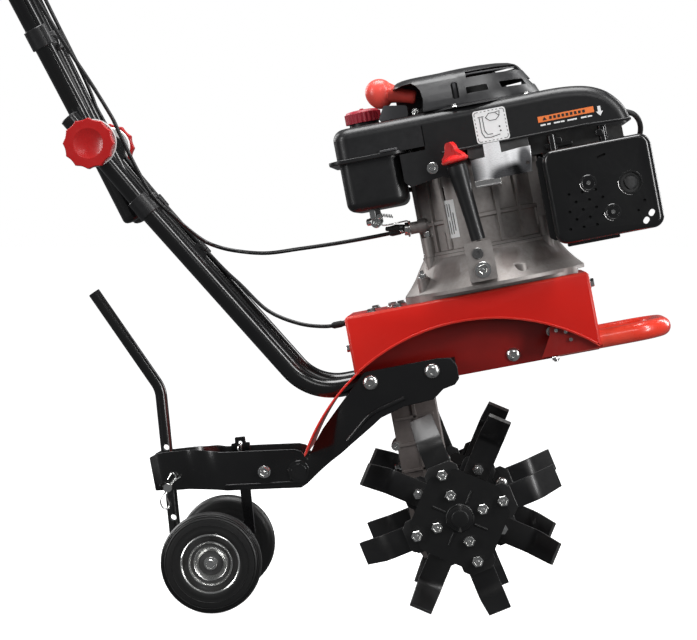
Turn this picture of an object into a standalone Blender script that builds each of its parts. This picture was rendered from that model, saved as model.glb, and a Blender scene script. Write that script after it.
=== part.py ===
"""Front-tine petrol tiller with a folding handlebar, transport wheels and a depth stake.

One object is made for each sub-part. The outlines below are in millimetres, and MM turns them into
Blender's metres. Two frames are used. The ground frame has its origin on the floor below the tine axle,
with X forward, Y to the left of the machine and Z up. The deck frame has its origin on the tine axle and
is tilted nose up with the whole power unit.
"""

import math

import bmesh
import bpy
from mathutils import Matrix, Vector

MM = 0.001
GAP = 0.3  # clearance between two pieces that touch on the real machine

# Driving dimensions, in millimetres and radians.
ORIGIN_X = 260.9  # from the middle of the machine's length to the tine axle
AXLE_HEIGHT = 128.2
FLOOR_DROP = 3.6  # heights count from this far above the floor
DECK_TILT = math.radians(10.8)
STAR_POSITIONS = (-160, -75, 75, 160)
WHEEL_RADIUS = 66.1
WHEEL_AXLE = (-324.6, WHEEL_RADIUS - FLOOR_DROP)
WHEEL_OUTER_FACE = 126
WHEEL_WIDTH = 32
TUBE_RADIUS = 12.5

# Deck frame.
DECK_REAR, DECK_FRONT, DECK_TOP = -102, 221, 278
DECK_HALF_WIDTH = 95
FENDER_CENTRE = (45, -21)
FENDER_RADIUS = 265
FRAME_HALF_WIDTH = 58
FRAME_BOTTOM = 174
TUBE_LEVEL = 188
CRANK_X = 100
WORM_X = -37.5
BELT_LEVEL = 230
CYLINDER_LEVEL = 400
CRANKCASE_BOTTOM = 334
COVER_TOP = 519
ENGINE_BASE = DECK_TOP + GAP
PULL_Y = -34
PULL_START = (43, PULL_Y, 545)
PULL_WAY = (-0.949, 0, 0.316)

# Ground frame.
LOWER_TUBE_Y = 72
UPPER_TUBE_Y = 46.5
FOLD_PIVOT = (-485, 609)
KNOB_RADIUS = 34
STAKE_HOLE = (-395.4, 196.5)
STAKE_LOW = (-385.5, 97.6)
STRUT_TOP = (-297.3, 219)
STRUT_LOW = (-284, 95)
GRIP_START = (-668, 208, 972)
GRIP_END = (-788, 236, 984)


# ---------------------------------------------------------------- frames and materials

for old in list(bpy.data.objects):
    bpy.data.objects.remove(old, do_unlink=True)
for old in list(bpy.data.materials):
    bpy.data.materials.remove(old)


def empty(name, parent=None, at=(0, 0, 0), tilt=0.0):
    """A frame that pieces are parented to. A moving piece's frame sits on its joint's axis."""
    frame = bpy.data.objects.new(name, None)
    bpy.context.scene.collection.objects.link(frame)
    frame.empty_display_size = 0.03
    frame.parent = parent
    frame.location = Vector(at) * MM
    frame.rotation_euler = (0, -tilt, 0)
    return frame


GROUND = empty("ground_frame", at=(ORIGIN_X, 0, FLOOR_DROP))
DECK = empty("deck_frame", GROUND, (0, 0, AXLE_HEIGHT), DECK_TILT)


def to_ground(x, z):
    """A deck frame point (x, z) in the ground frame."""
    cos, sin = math.cos(DECK_TILT), math.sin(DECK_TILT)
    return x * cos - z * sin, AXLE_HEIGHT + x * sin + z * cos


def material(name, colour, roughness, metallic=0.0):
    made = bpy.data.materials.new(name)
    made.use_nodes = True
    shader = made.node_tree.nodes["Principled BSDF"]
    shader.inputs["Base Color"].default_value = (*colour, 1)
    shader.inputs["Roughness"].default_value = roughness
    shader.inputs["Metallic"].default_value = metallic
    made.diffuse_color = (*colour, 1)
    return made


RED = material("red_paint", (0.62, 0.02, 0.012), 0.3)
DARK_RED = material("dark_red_paint", (0.2, 0.01, 0.01), 0.4)
BLACK = material("black_paint", (0.012, 0.012, 0.013), 0.3)
PLASTIC = material("black_plastic", (0.02, 0.02, 0.022), 0.5)
CAST = material("cast_aluminium", (0.32, 0.3, 0.29), 0.5, 0.8)
STEEL = material("zinc_steel", (0.6, 0.6, 0.6), 0.3, 1.0)
SHIELD = material("bright_steel", (0.75, 0.76, 0.78), 0.25, 1.0)
RUBBER = material("rubber", (0.02, 0.02, 0.02), 0.8)
CAP_RED = material("cap_plastic", (0.25, 0.015, 0.02), 0.45)
PULL_RED = material("pull_plastic", (0.65, 0.06, 0.015), 0.5)
KNOB_RED = material("knob_plastic", (0.6, 0.03, 0.03), 0.4)


# ---------------------------------------------------------------- shapes, in millimetres


def loft(rings):
    """A closed solid through rings with the same number of points, capped at both ends."""
    shape = bmesh.new()
    made = [[shape.verts.new(point) for point in ring] for ring in rings]
    count = len(made[0])
    for low, high in zip(made, made[1:]):
        for i in range(count):
            j = (i + 1) % count
            shape.faces.new((low[i], low[j], high[j], high[i]))
    shape.faces.new(made[0])
    shape.faces.new(made[-1])
    bmesh.ops.recalc_face_normals(shape, faces=shape.faces)
    return shape


def prism(outline, low, high, along="Y"):
    """An outline pushed along one axis. It holds (x, z) points for Y, (x, y) for Z and (y, z) for X."""
    place = {
        "X": lambda a, b, c: (c, a, b),
        "Y": lambda a, b, c: (a, c, b),
        "Z": lambda a, b, c: (a, b, c),
    }[along]
    return loft([[place(a, b, level) for a, b in outline] for level in (low, high)])


def block(x, y, z):
    return prism([(x[0], y[0]), (x[1], y[0]), (x[1], y[1]), (x[0], y[1])], z[0], z[1], "Z")


def arc(centre, radius, start, end, steps):
    """Points on an arc between two angles in degrees."""
    angles = (math.radians(start + (end - start) * i / steps) for i in range(steps + 1))
    return [(centre[0] + radius * math.cos(a), centre[1] + radius * math.sin(a)) for a in angles]


def rounded(x, y, radius, steps=4):
    """A rectangle's outline with round corners."""
    corners = ((x[1], y[1], 0), (x[0], y[1], 90), (x[0], y[0], 180), (x[1], y[0], 270))
    outline = []
    for cx, cy, start in corners:
        inwards_x = -radius if cx == x[1] else radius
        inwards_y = -radius if cy == y[1] else radius
        outline += arc((cx + inwards_x, cy + inwards_y), radius, start, start + 90, steps)
    return outline


def turned(profile, at=(0, 0, 0), along=(0, 0, 1), sides=18):
    """A profile of (radius, height) points turned about an axis. It starts and ends on the axis, or closes."""
    shape = bmesh.new()
    turn = Vector((0, 0, 1)).rotation_difference(Vector(along)).to_matrix()
    rings = []
    for radius, height in profile:
        count = 1 if radius == 0 else sides
        spots = (
            Vector((radius * math.cos(a), radius * math.sin(a), height))
            for a in (2 * math.pi * i / sides for i in range(count))
        )
        rings.append([shape.verts.new(Vector(at) + turn @ spot) for spot in spots])
    closed = profile[0][0] > 0
    pairs = list(zip(rings, rings[1:])) + ([(rings[-1], rings[0])] if closed else [])
    for low, high in pairs:
        for i in range(sides):
            j = (i + 1) % sides
            corners = [low[i % len(low)], low[j % len(low)], high[j % len(high)], high[i % len(high)]]
            unique = list(dict.fromkeys(corners))
            if len(unique) > 2:
                shape.faces.new(unique)
    bmesh.ops.recalc_face_normals(shape, faces=shape.faces)
    return shape


def rod(start, end, radius, sides=12):
    length = (Vector(end) - Vector(start)).length
    profile = [(0, 0), (radius, 0), (radius, length), (0, length)]
    return turned(profile, start, Vector(end) - Vector(start), sides)


def cross_rod(x, z, y_low, y_high, radius, sides=12):
    """A round bar across the machine."""
    return rod((x, y_low, z), (x, y_high, z), radius, sides)


def filleted(points, radius, steps=5):
    """A polyline whose inner corners are replaced by arcs."""
    points = [Vector(p) for p in points]
    path = [points[0]]
    for before, corner, after in zip(points, points[1:], points[2:]):
        back, ahead = (before - corner).normalized(), (after - corner).normalized()
        half = back.angle(ahead) / 2
        reach = radius / math.tan(half)
        middle = corner + (back + ahead).normalized() * (radius / math.sin(half))
        first = corner + back * reach - middle
        last = corner + ahead * reach - middle
        path += [middle + radius * first.slerp(last, i / steps) for i in range(steps + 1)]
    return path + [points[-1]]


def swept(path, radius, sides=12):
    """A round tube along a path of 3-D points."""
    path = [Vector(p) for p in path]
    ways = [(after - before).normalized() for before, after in zip(path, path[1:])]
    tangents = [ways[0]] + [(a + b).normalized() for a, b in zip(ways, ways[1:])] + [ways[-1]]
    side = tangents[0].orthogonal().normalized()
    rings = []
    for i, (point, tangent) in enumerate(zip(path, tangents)):
        if i:
            side.rotate(tangents[i - 1].rotation_difference(tangent))
        other = tangent.cross(side)
        angles = (2 * math.pi * k / sides for k in range(sides))
        rings.append([point + radius * (side * math.cos(a) + other * math.sin(a)) for a in angles])
    return loft(rings)


def mirrored(points):
    """The same 3-D points on the other side of the machine."""
    return [(x, -y, z) for x, y, z in points]


# ---------------------------------------------------------------- parts


def mesh_object(name, shape, frame):
    bmesh.ops.scale(shape, vec=(MM, MM, MM), verts=shape.verts)
    mesh = bpy.data.meshes.new(name)
    shape.to_mesh(mesh)
    shape.free()
    mesh.shade_smooth()
    mesh.set_sharp_from_angle(angle=math.radians(35))
    obj = bpy.data.objects.new(name, mesh)
    bpy.context.scene.collection.objects.link(obj)
    obj.parent = frame
    return obj


def boolean(obj, shape, operation, index):
    tool = mesh_object(f"{obj.name}_{operation.lower()}_{index}", shape, obj.parent)
    tool.hide_render = True
    tool.display_type = "WIRE"
    modifier = obj.modifiers.new(tool.name, "BOOLEAN")
    modifier.operation = operation
    modifier.object = tool


def part(name, shape, finish, frame, joins=(), cuts=(), bevel=None):
    """One sub-part: a base shape, its edges rounded, then shapes joined to it and shapes cut from it."""
    obj = mesh_object(name, shape, frame)
    obj.data.materials.append(finish)
    if bevel:
        rounding = obj.modifiers.new("round_edges", "BEVEL")
        rounding.width = bevel[0] * MM
        rounding.segments = bevel[1]
        rounding.limit_method = "ANGLE"
        rounding.angle_limit = math.radians(40)
    for i, joined in enumerate(joins):
        boolean(obj, joined, "UNION", i)
    for i, cut in enumerate(cuts):
        boolean(obj, cut, "DIFFERENCE", i)
    return obj


def cable(name, route, radius, frame):
    """A sheathed cable on one smooth curve through its route."""
    route = [Vector(p) for p in route]
    ends = [2 * route[0] - route[1]] + route + [2 * route[-1] - route[-2]]
    steps = 2
    points = []
    for a, b, c, d in zip(ends, ends[1:], ends[2:], ends[3:]):
        for t in (i / steps for i in range(steps)):
            bend = (2 * a - 5 * b + 4 * c - d) * t * t + (3 * b - a - 3 * c + d) * t**3
            points.append(b + 0.5 * ((c - a) * t + bend))
    points.append(route[-1])
    curve = bpy.data.curves.new(name, "CURVE")
    curve.dimensions = "3D"
    curve.bevel_depth = radius * MM
    curve.bevel_resolution = 2
    curve.use_fill_caps = True
    spline = curve.splines.new("POLY")
    spline.points.add(len(points) - 1)
    for spot, point in zip(spline.points, points):
        spot.co = (*(point * MM), 1)
    obj = bpy.data.objects.new(name, curve)
    bpy.context.scene.collection.objects.link(obj)
    obj.parent = frame
    curve.materials.append(PLASTIC)
    return obj


# ---------------------------------------------------------------- chassis


def fender_cutter(radius):
    x, z = FENDER_CENTRE
    return cross_rod(x, z, -120, 120, radius, 72)


def make_deck():
    """The belt cover: a box open underneath, whose side edges follow the fender's arc."""
    outer = block((DECK_REAR, DECK_FRONT), (-DECK_HALF_WIDTH, DECK_HALF_WIDTH), (165, DECK_TOP))
    wall = 2
    inner = block(
        (DECK_REAR + wall, DECK_FRONT - wall),
        (wall - DECK_HALF_WIDTH, DECK_HALF_WIDTH - wall),
        (150, DECK_TOP - wall),
    )
    shaft_hole = rod((CRANK_X, 0, 270), (CRANK_X, 0, 290), 20)
    cuts = [inner, fender_cutter(FENDER_RADIUS + 2.3), shaft_hole]
    for y in (-LOWER_TUBE_Y, LOWER_TUBE_Y):
        cuts.append(rod((200, y, TUBE_LEVEL), (240, y, TUBE_LEVEL), TUBE_RADIUS + 1))
    part("deck_cover", outer, RED, DECK, cuts=cuts, bevel=(3, 1))


def make_fender():
    """The curved mudguard sheet: full width behind the frame, and a wing on each side of it."""
    inside = arc(FENDER_CENTRE, FENDER_RADIUS, 49.2, 150.6, 26)
    outside = arc(FENDER_CENTRE, FENDER_RADIUS + 1.5, 150.6, 49.2, 26)
    sheet = prism(inside + outside, -DECK_HALF_WIDTH, DECK_HALF_WIDTH)
    room = FRAME_HALF_WIDTH + 5
    cuts = [block((-105, 240), (-room, room), (150, 260))]
    for side in (-1, 1):
        y = side * LOWER_TUBE_Y
        cuts.append(rod((-150, y, TUBE_LEVEL), (-88, y, TUBE_LEVEL), TUBE_RADIUS + 1))
        cuts.append(rod((180, y, TUBE_LEVEL), (240, y, TUBE_LEVEL), TUBE_RADIUS + 1))
    part("fender", sheet, RED, DECK, cuts=cuts)


def make_side_frame():
    """A box channel that carries the engine on its top and the gearbox under its floor."""
    wall = 3
    rear, front = DECK_REAR + wall, DECK_FRONT - wall
    top = DECK_TOP - 2 - GAP
    channel = block((rear, front), (-FRAME_HALF_WIDTH, FRAME_HALF_WIDTH), (FRAME_BOTTOM, top))
    inside = FRAME_HALF_WIDTH - wall
    cuts = [
        block((rear - 5, front + 5), (-inside, inside), (FRAME_BOTTOM + wall, top - wall)),
        block((36, front - 12), (8 - inside, inside - 8), (FRAME_BOTTOM - 5, FRAME_BOTTOM + 5)),
        rod((CRANK_X, 0, top - 10), (CRANK_X, 0, top + 10), 34, 24),
        rod((WORM_X, 0, FRAME_BOTTOM - 5), (WORM_X, 0, FRAME_BOTTOM + 5), 18, 24),
    ]
    part("side_frame", channel, DARK_RED, DECK, cuts=cuts)


def make_guard_bar():
    reach, y = 317 - TUBE_RADIUS, LOWER_TUBE_Y
    corners = [(128, -y), (reach, -y), (reach, y), (128, y)]
    path = filleted([(x, side, TUBE_LEVEL) for x, side in corners], 42, 4)
    part("guard_bar", swept(path, TUBE_RADIUS, 12), RED, DECK)


def make_hitch_arms():
    """Bent plates from the deck's sides back to the hitch. Each station is x, low z, high z and y."""
    stations = (
        (31, 172, 190, 87), (24, 165, 201, 87), (8, 162, 203, 87), (-7, 151, 203, 87),
        (-47, 149, 203, 87), (-79, 140, 203, 87), (-90, 133, 203, 87), (-105, 124, 189, 87),
        (-122, 114, 173, 87), (-138, 104, 158, 80), (-158, 93, 139, 66), (-174, 83, 120, 57),
        (-187, 74, 101, 52), (-193, 70, 114, 51), (-202, 66, 118, 50), (-250, 73, 125, 50),
        (-300, 80, 132, 49), (-312, 83, 136, 46), (-326, 85, 138, 36), (-341, 87, 141, 25),
        (-352, 89, 142, 22), (-380, 92, 144, 22), (-387, 94, 144, 24), (-396, 96, 141, 31),
    )
    thickness = 4
    for side, name in ((-1, "hitch_arm_right"), (1, "hitch_arm_left")):
        rings = []
        for x, low, high, y in stations:
            near, far = side * (y - thickness / 2), side * (y + thickness / 2)
            rings.append([(x, near, low), (x, near, high), (x, far, high), (x, far, low)])
        part(name, loft(rings), BLACK, DECK)


def make_hitch_bracket():
    """A welded carrier between the arm plates, with a guide for the stake and one for the wheel strut."""
    spine = block((-388, -214), (-6, 6), (163, 181))
    stake_way = (Vector(STAKE_HOLE) - Vector(STAKE_LOW)).normalized()
    strut_way = (Vector(STRUT_TOP) - Vector(STRUT_LOW)).normalized()

    def on_line(point, way, z):
        return point[0] + way[0] * (z - point[1]) / way[1]

    def slanted(point, way, half, low, high):
        outline = [(on_line(point, way, low) - half, low), (on_line(point, way, low) + half, low)]
        return outline + [
            (on_line(point, way, high) + half, high),
            (on_line(point, way, high) - half, high),
        ]

    joins = [
        prism(slanted(STAKE_LOW, stake_way, 15, 150, 194), -19, 19),
        prism(slanted(STRUT_LOW, strut_way, 17, 150, 195), -14, 14),
        cross_rod(-214, 177, -47, 47, 15, 20),
    ]
    low, high = 130, 215
    stake_bore = rod(
        (on_line(STAKE_LOW, stake_way, low), 0, low),
        (on_line(STAKE_LOW, stake_way, high), 0, high),
        8.6,
    )
    strut_slot = prism(slanted(STRUT_LOW, strut_way, 7.6, low, high), -3.7, 3.7)
    part("hitch_bracket", spine, BLACK, GROUND, joins=joins, cuts=[stake_bore, strut_slot])


# ---------------------------------------------------------------- gearbox and tines


def make_gearbox():
    """Two cast halves that part on the machine's middle plane, with one cavity for worm and wheel."""
    outline = [(-7, FRAME_BOTTOM - GAP), (-68, FRAME_BOTTOM - GAP), (-68, -44), (-60, -58), (-22, -58)]
    outline += arc((0, 0), 46, -76, 76, 10) + [(-7, 62)]
    for name, low, high in (
        ("gearbox_case_right", -30, -GAP / 2),
        ("gearbox_case_left", GAP / 2, 30),
    ):
        outer_face = low if low < -1 else high
        hub = cross_rod(0, 0, min(outer_face, outer_face * 1.25), max(outer_face, outer_face * 1.25), 24)
        bosses = [cross_rod(-69, z, low, high, 7, 10) for z in (96, -42)]
        cuts = [
            cross_rod(0, 0, -60, 60, 13, 20),
            cross_rod(0, 0, -12, 12, 31, 24),
            rod((WORM_X, 0, -24), (WORM_X, 0, 190), 8.5, 16),
            rod((WORM_X, 0, -25), (WORM_X, 0, 27), 12, 16),
        ]
        part(name, prism(outline, low, high), CAST, DECK, joins=[hub] + bosses, cuts=cuts)


def star(name, y, bend, first_angle, frame):
    """A cross plate with four bolted blades, each bent sideways near its tip."""
    arm, half, thickness = 74, 22, 5
    outline = []
    for quarter in range(4):
        turn = Matrix.Rotation(math.radians(first_angle + 90 * quarter), 2)
        for point in ((half, -half), (arm - 8, -half), (arm, 8 - half), (arm, half - 8), (arm - 8, half)):
            outline.append(tuple(turn @ Vector(point)))
    blades = []
    straight, bend_radius, bend_angle, flat, blade_width = 95, 18, math.radians(50), 39, 33
    blade_y = y + bend * (thickness - 1)
    for quarter in range(4):
        angle = math.radians(first_angle + 90 * quarter)
        out = Vector((math.cos(angle), 0, math.sin(angle)))
        across = Vector((-math.sin(angle), 0, math.cos(angle)))
        side = Vector((0, bend, 0))
        stations = [(50, 0.0, 0.0, 1.0), (straight, 0.0, 0.0, 1.0)]
        stations += [(straight, bend_angle * i / 3, 0.0, 1.0) for i in range(1, 4)]
        stations += [(straight, bend_angle, flat, 0.92)]
        rings = []
        for reach, bent, beyond, share in stations:
            middle = out * (reach + bend_radius * math.sin(bent) + beyond * math.cos(bent))
            middle += side * (bend_radius * (1 - math.cos(bent)) + beyond * math.sin(bent))
            middle += Vector((0, blade_y, 0))
            normal = (out * math.sin(bent) - side * math.cos(bent)) * thickness / 2
            edge = across * blade_width / 2 * share
            rings.append([middle - edge - normal, middle + edge - normal])
            rings[-1] += [middle + edge + normal, middle - edge + normal]
        blades.append(loft(rings))
    plate = prism(outline, y - thickness / 2, y + thickness / 2)
    hole = cross_rod(0, 0, y - 30, y + 30, 16 + GAP, 24)
    part(name, plate, BLACK, frame, joins=blades, cuts=[hole])


def gear_outline(radius, depth, teeth):
    """A wheel outline with straight-sided teeth."""
    outline = []
    for tooth in range(teeth):
        for share, reach in ((-0.2, radius - depth), (0, radius), (0.2, radius - depth)):
            angle = 2 * math.pi * (tooth + share) / teeth
            outline.append((reach * math.cos(angle), reach * math.sin(angle)))
    return outline


def make_tines():
    shaft = empty("tine_shaft_frame", GROUND, (0, 0, AXLE_HEIGHT))
    sleeve = 16
    half = [(0, -172), (11, -172), (11, -168), (sleeve, -168), (sleeve, -39), (12.5, -38)]
    profile = half + [(radius, -height) for radius, height in reversed(half)]
    part("tine_axle", turned(profile, along=(0, 1, 0), sides=20), STEEL, shaft)
    wheel = prism(gear_outline(27.6, 4, 20), -10, 10)
    part("worm_wheel", wheel, STEEL, shaft, cuts=[cross_rod(0, 0, -20, 20, 12.5 + GAP, 20)])
    for i, y in enumerate(STAR_POSITIONS):
        bend = 1 if i % 2 == 0 else -1
        star(f"tine_star_{i + 1}", y, bend, 22.5 if i % 2 == 0 else 67.5, shaft)


def pulley(name, radius, bore, frame):
    """A single-groove belt pulley on a vertical shaft."""
    root = radius - 11
    profile = [
        (bore, 8 - 24), (bore + 8, 8 - 24), (bore + 8, -9), (radius, -9), (radius, -7),
        (root, -4), (root, 4), (radius, 7), (radius, 9), (bore, 9),
    ]
    part(name, turned(profile, (0, 0, BELT_LEVEL), sides=20), CAST, frame)


def make_worm():
    shaft = empty("worm_frame", DECK, (WORM_X, 0, 0))
    thread, core, pitch, sides = 1.4, 7.4, 10, 8
    turns, steps = 3, 6
    rings = []
    for i in range(turns * steps + 1):
        angle = 2 * math.pi * i / steps
        middle = Vector((thread * math.cos(angle), thread * math.sin(angle), pitch * (i / steps - turns / 2)))
        spots = (2 * math.pi * k / sides for k in range(sides))
        rings.append([middle + core * Vector((math.cos(a), math.sin(a), 0)) for a in spots])
    journals = [rod((0, 0, -23), (0, 0, -15), 7), rod((0, 0, 15), (0, 0, 250), 8)]
    part("worm_shaft", loft(rings), STEEL, shaft, joins=journals)
    pulley("driven_pulley", 42, 8 + GAP, shaft)


# ---------------------------------------------------------------- engine


def make_bottom_end():
    """Sump, crankcase and cylinder."""
    flange = prism(rounded((-19, 210), (-86, 86), 40, 5), ENGINE_BASE, 289, "Z")
    bowl = [(0, 288), (92, 288), (86, 300), (85, CRANKCASE_BOTTOM - GAP), (0, CRANKCASE_BOTTOM - GAP)]
    oil_block = block((69, 105), (-134, -86), (292, 343))
    joins = [turned(bowl, (CRANK_X, 0, 0), sides=24), oil_block, block((69, 105), (-134, -70), (292, 330))]
    for angle in (150, 210, 330, 30):
        x = CRANK_X + 88 * math.cos(math.radians(angle))
        y = 88 * math.sin(math.radians(angle))
        joins.append(rod((x, y, 285), (x, y, CRANKCASE_BOTTOM - GAP), 8, 10))
    room = [(0, 298), (77, 298), (77, 340), (0, 340)]
    cuts = [turned(room, (CRANK_X, 0, 0)), rod((CRANK_X, 0, 270), (CRANK_X, 0, 310), 13)]
    part("sump_cover", flange, CAST, DECK, joins=joins, cuts=cuts)

    bottom = CRANKCASE_BOTTOM
    pot = [(0, bottom), (85, bottom), (85, 440), (70, 462), (0, 462)]
    neck = block((140, 185), (-50, 50), (350, 450))
    joins = [neck, rod((40, -40, 376), (-2, -40, 376), 8, 12)]
    for angle in (150, 210, 330, 30):
        x = CRANK_X + 88 * math.cos(math.radians(angle))
        y = 88 * math.sin(math.radians(angle))
        joins.append(rod((x, y, bottom), (x, y, bottom + 26), 8, 10))
    room = [(0, 320), (78, 320), (78, 436), (64, 454), (0, 454)]
    cuts = [
        turned(room, (CRANK_X, 0, 0)),
        rod((CRANK_X, 0, 440), (CRANK_X, 0, 480), 13),
        rod((CRANK_X, 0, CYLINDER_LEVEL), (200, 0, CYLINDER_LEVEL), 30, 20),
    ]
    part("crankcase", turned(pot, (CRANK_X, 0, 0), sides=24), CAST, DECK, joins=joins, cuts=cuts)

    sections = [(185 + GAP, 40)]
    for i in range(8):
        x = 192 + 9 * i
        sections += [(x, 40), (x, 54), (x + 3, 54), (x + 3, 40)]
    sections += [(262, 40), (262, 52), (296, 52)]
    rings = []
    for x, half in sections:
        low, high = CYLINDER_LEVEL - half, CYLINDER_LEVEL + half
        rings.append([(x, -half, low), (x, half, low), (x, half, high), (x, -half, high)])
    bore = rod((180, 0, CYLINDER_LEVEL), (258, 0, CYLINDER_LEVEL), 27.5, 20)
    part("cylinder_block", loft(rings), CAST, DECK, cuts=[bore])


def make_crank_train():
    """Crankshaft with its throw, piston and rod. The rod stops short of the crank pin's circle."""
    shaft = empty("crank_frame", DECK, (CRANK_X, 0, 0))
    throw = 20
    web = prism(rounded((-32, 32), (-18, 18), 12), 374, 388, "Z")
    joins = [
        prism(rounded((-32, 32), (-18, 18), 12), 412, 426, "Z"),
        rod((0, 0, 200), (0, 0, 376), 12.5, 16),
        rod((0, 0, 424), (0, 0, 516), 12.5, 16),
        rod((throw, 0, 380), (throw, 0, 420), 8, 12),
    ]
    part("crankshaft", web, STEEL, shaft, joins=joins)
    pulley("engine_pulley", 28, 12.5 + GAP, shaft)
    hub = 12.5 + GAP
    wheel = [(hub, 468), (30, 468), (34, 480), (62, 484), (62, 474), (76, 474), (76, 492), (hub, 492)]
    blades = []
    for i in range(8):
        turn = Matrix.Rotation(2 * math.pi * i / 8, 3, "Z")
        blade = block((44, 74), (-1.5, 1.5), (490, 506))
        bmesh.ops.rotate(blade, cent=(0, 0, 0), matrix=turn, verts=blade.verts)
        blades.append(blade)
    part("flywheel", turned(wheel, sides=20), CAST, shaft, joins=blades)

    crown, skirt, radius = 232, 196, 27
    cup = [(0, crown), (radius, crown), (radius, skirt), (24, skirt), (24, crown - 8), (0, crown - 8)]
    along = (1, 0, 0)
    part("piston", turned(cup, (0, 0, CYLINDER_LEVEL), along, 20), CAST, DECK)
    small_end, big_end = 208, 130 + 14
    outline = arc((small_end, CYLINDER_LEVEL), 9, 150, -150, 8)
    outline += [(big_end, CYLINDER_LEVEL - 6), (130, CYLINDER_LEVEL - 9), (130, CYLINDER_LEVEL + 9)]
    outline += [(big_end, CYLINDER_LEVEL + 6)]
    part("connecting_rod", prism(outline, -6, 6), STEEL, DECK)


def make_belt_drive():
    """The belt in its driving position, and the idler that tensions it from outside."""
    driven, driving, thickness = 40, 26, 7

    def loop(shrink):
        first, second = driven - shrink, driving - shrink
        lean = math.degrees(math.asin((first - second) / (CRANK_X - WORM_X)))
        left = arc((WORM_X, 0), first, 90 - lean, 270 + lean, 16)
        return left + arc((CRANK_X, 0), second, lean - 90, 90 - lean, 12)

    half = 3
    belt = prism(loop(0), BELT_LEVEL - half, BELT_LEVEL + half, "Z")
    inside = prism(loop(thickness), BELT_LEVEL - 9, BELT_LEVEL + 9, "Z")
    part("drive_belt", belt, RUBBER, DECK, cuts=[inside])

    pivot = empty("idler_frame", DECK, (5, 46, BELT_LEVEL))
    arm = prism(rounded((-7, 58), (-7, 4.5), 4.4, 3), 11, 14, "Z")
    wheel = turned([(0, -6), (8, -6), (8, 6), (3, 6), (3, 13), (0, 13)], (50, -2.5, 0), sides=16)
    boss = rod((0, 0, 8), (0, 0, 20), 6, 12)
    part("idler_arm", arm, STEEL, pivot, joins=[wheel, boss])


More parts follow.
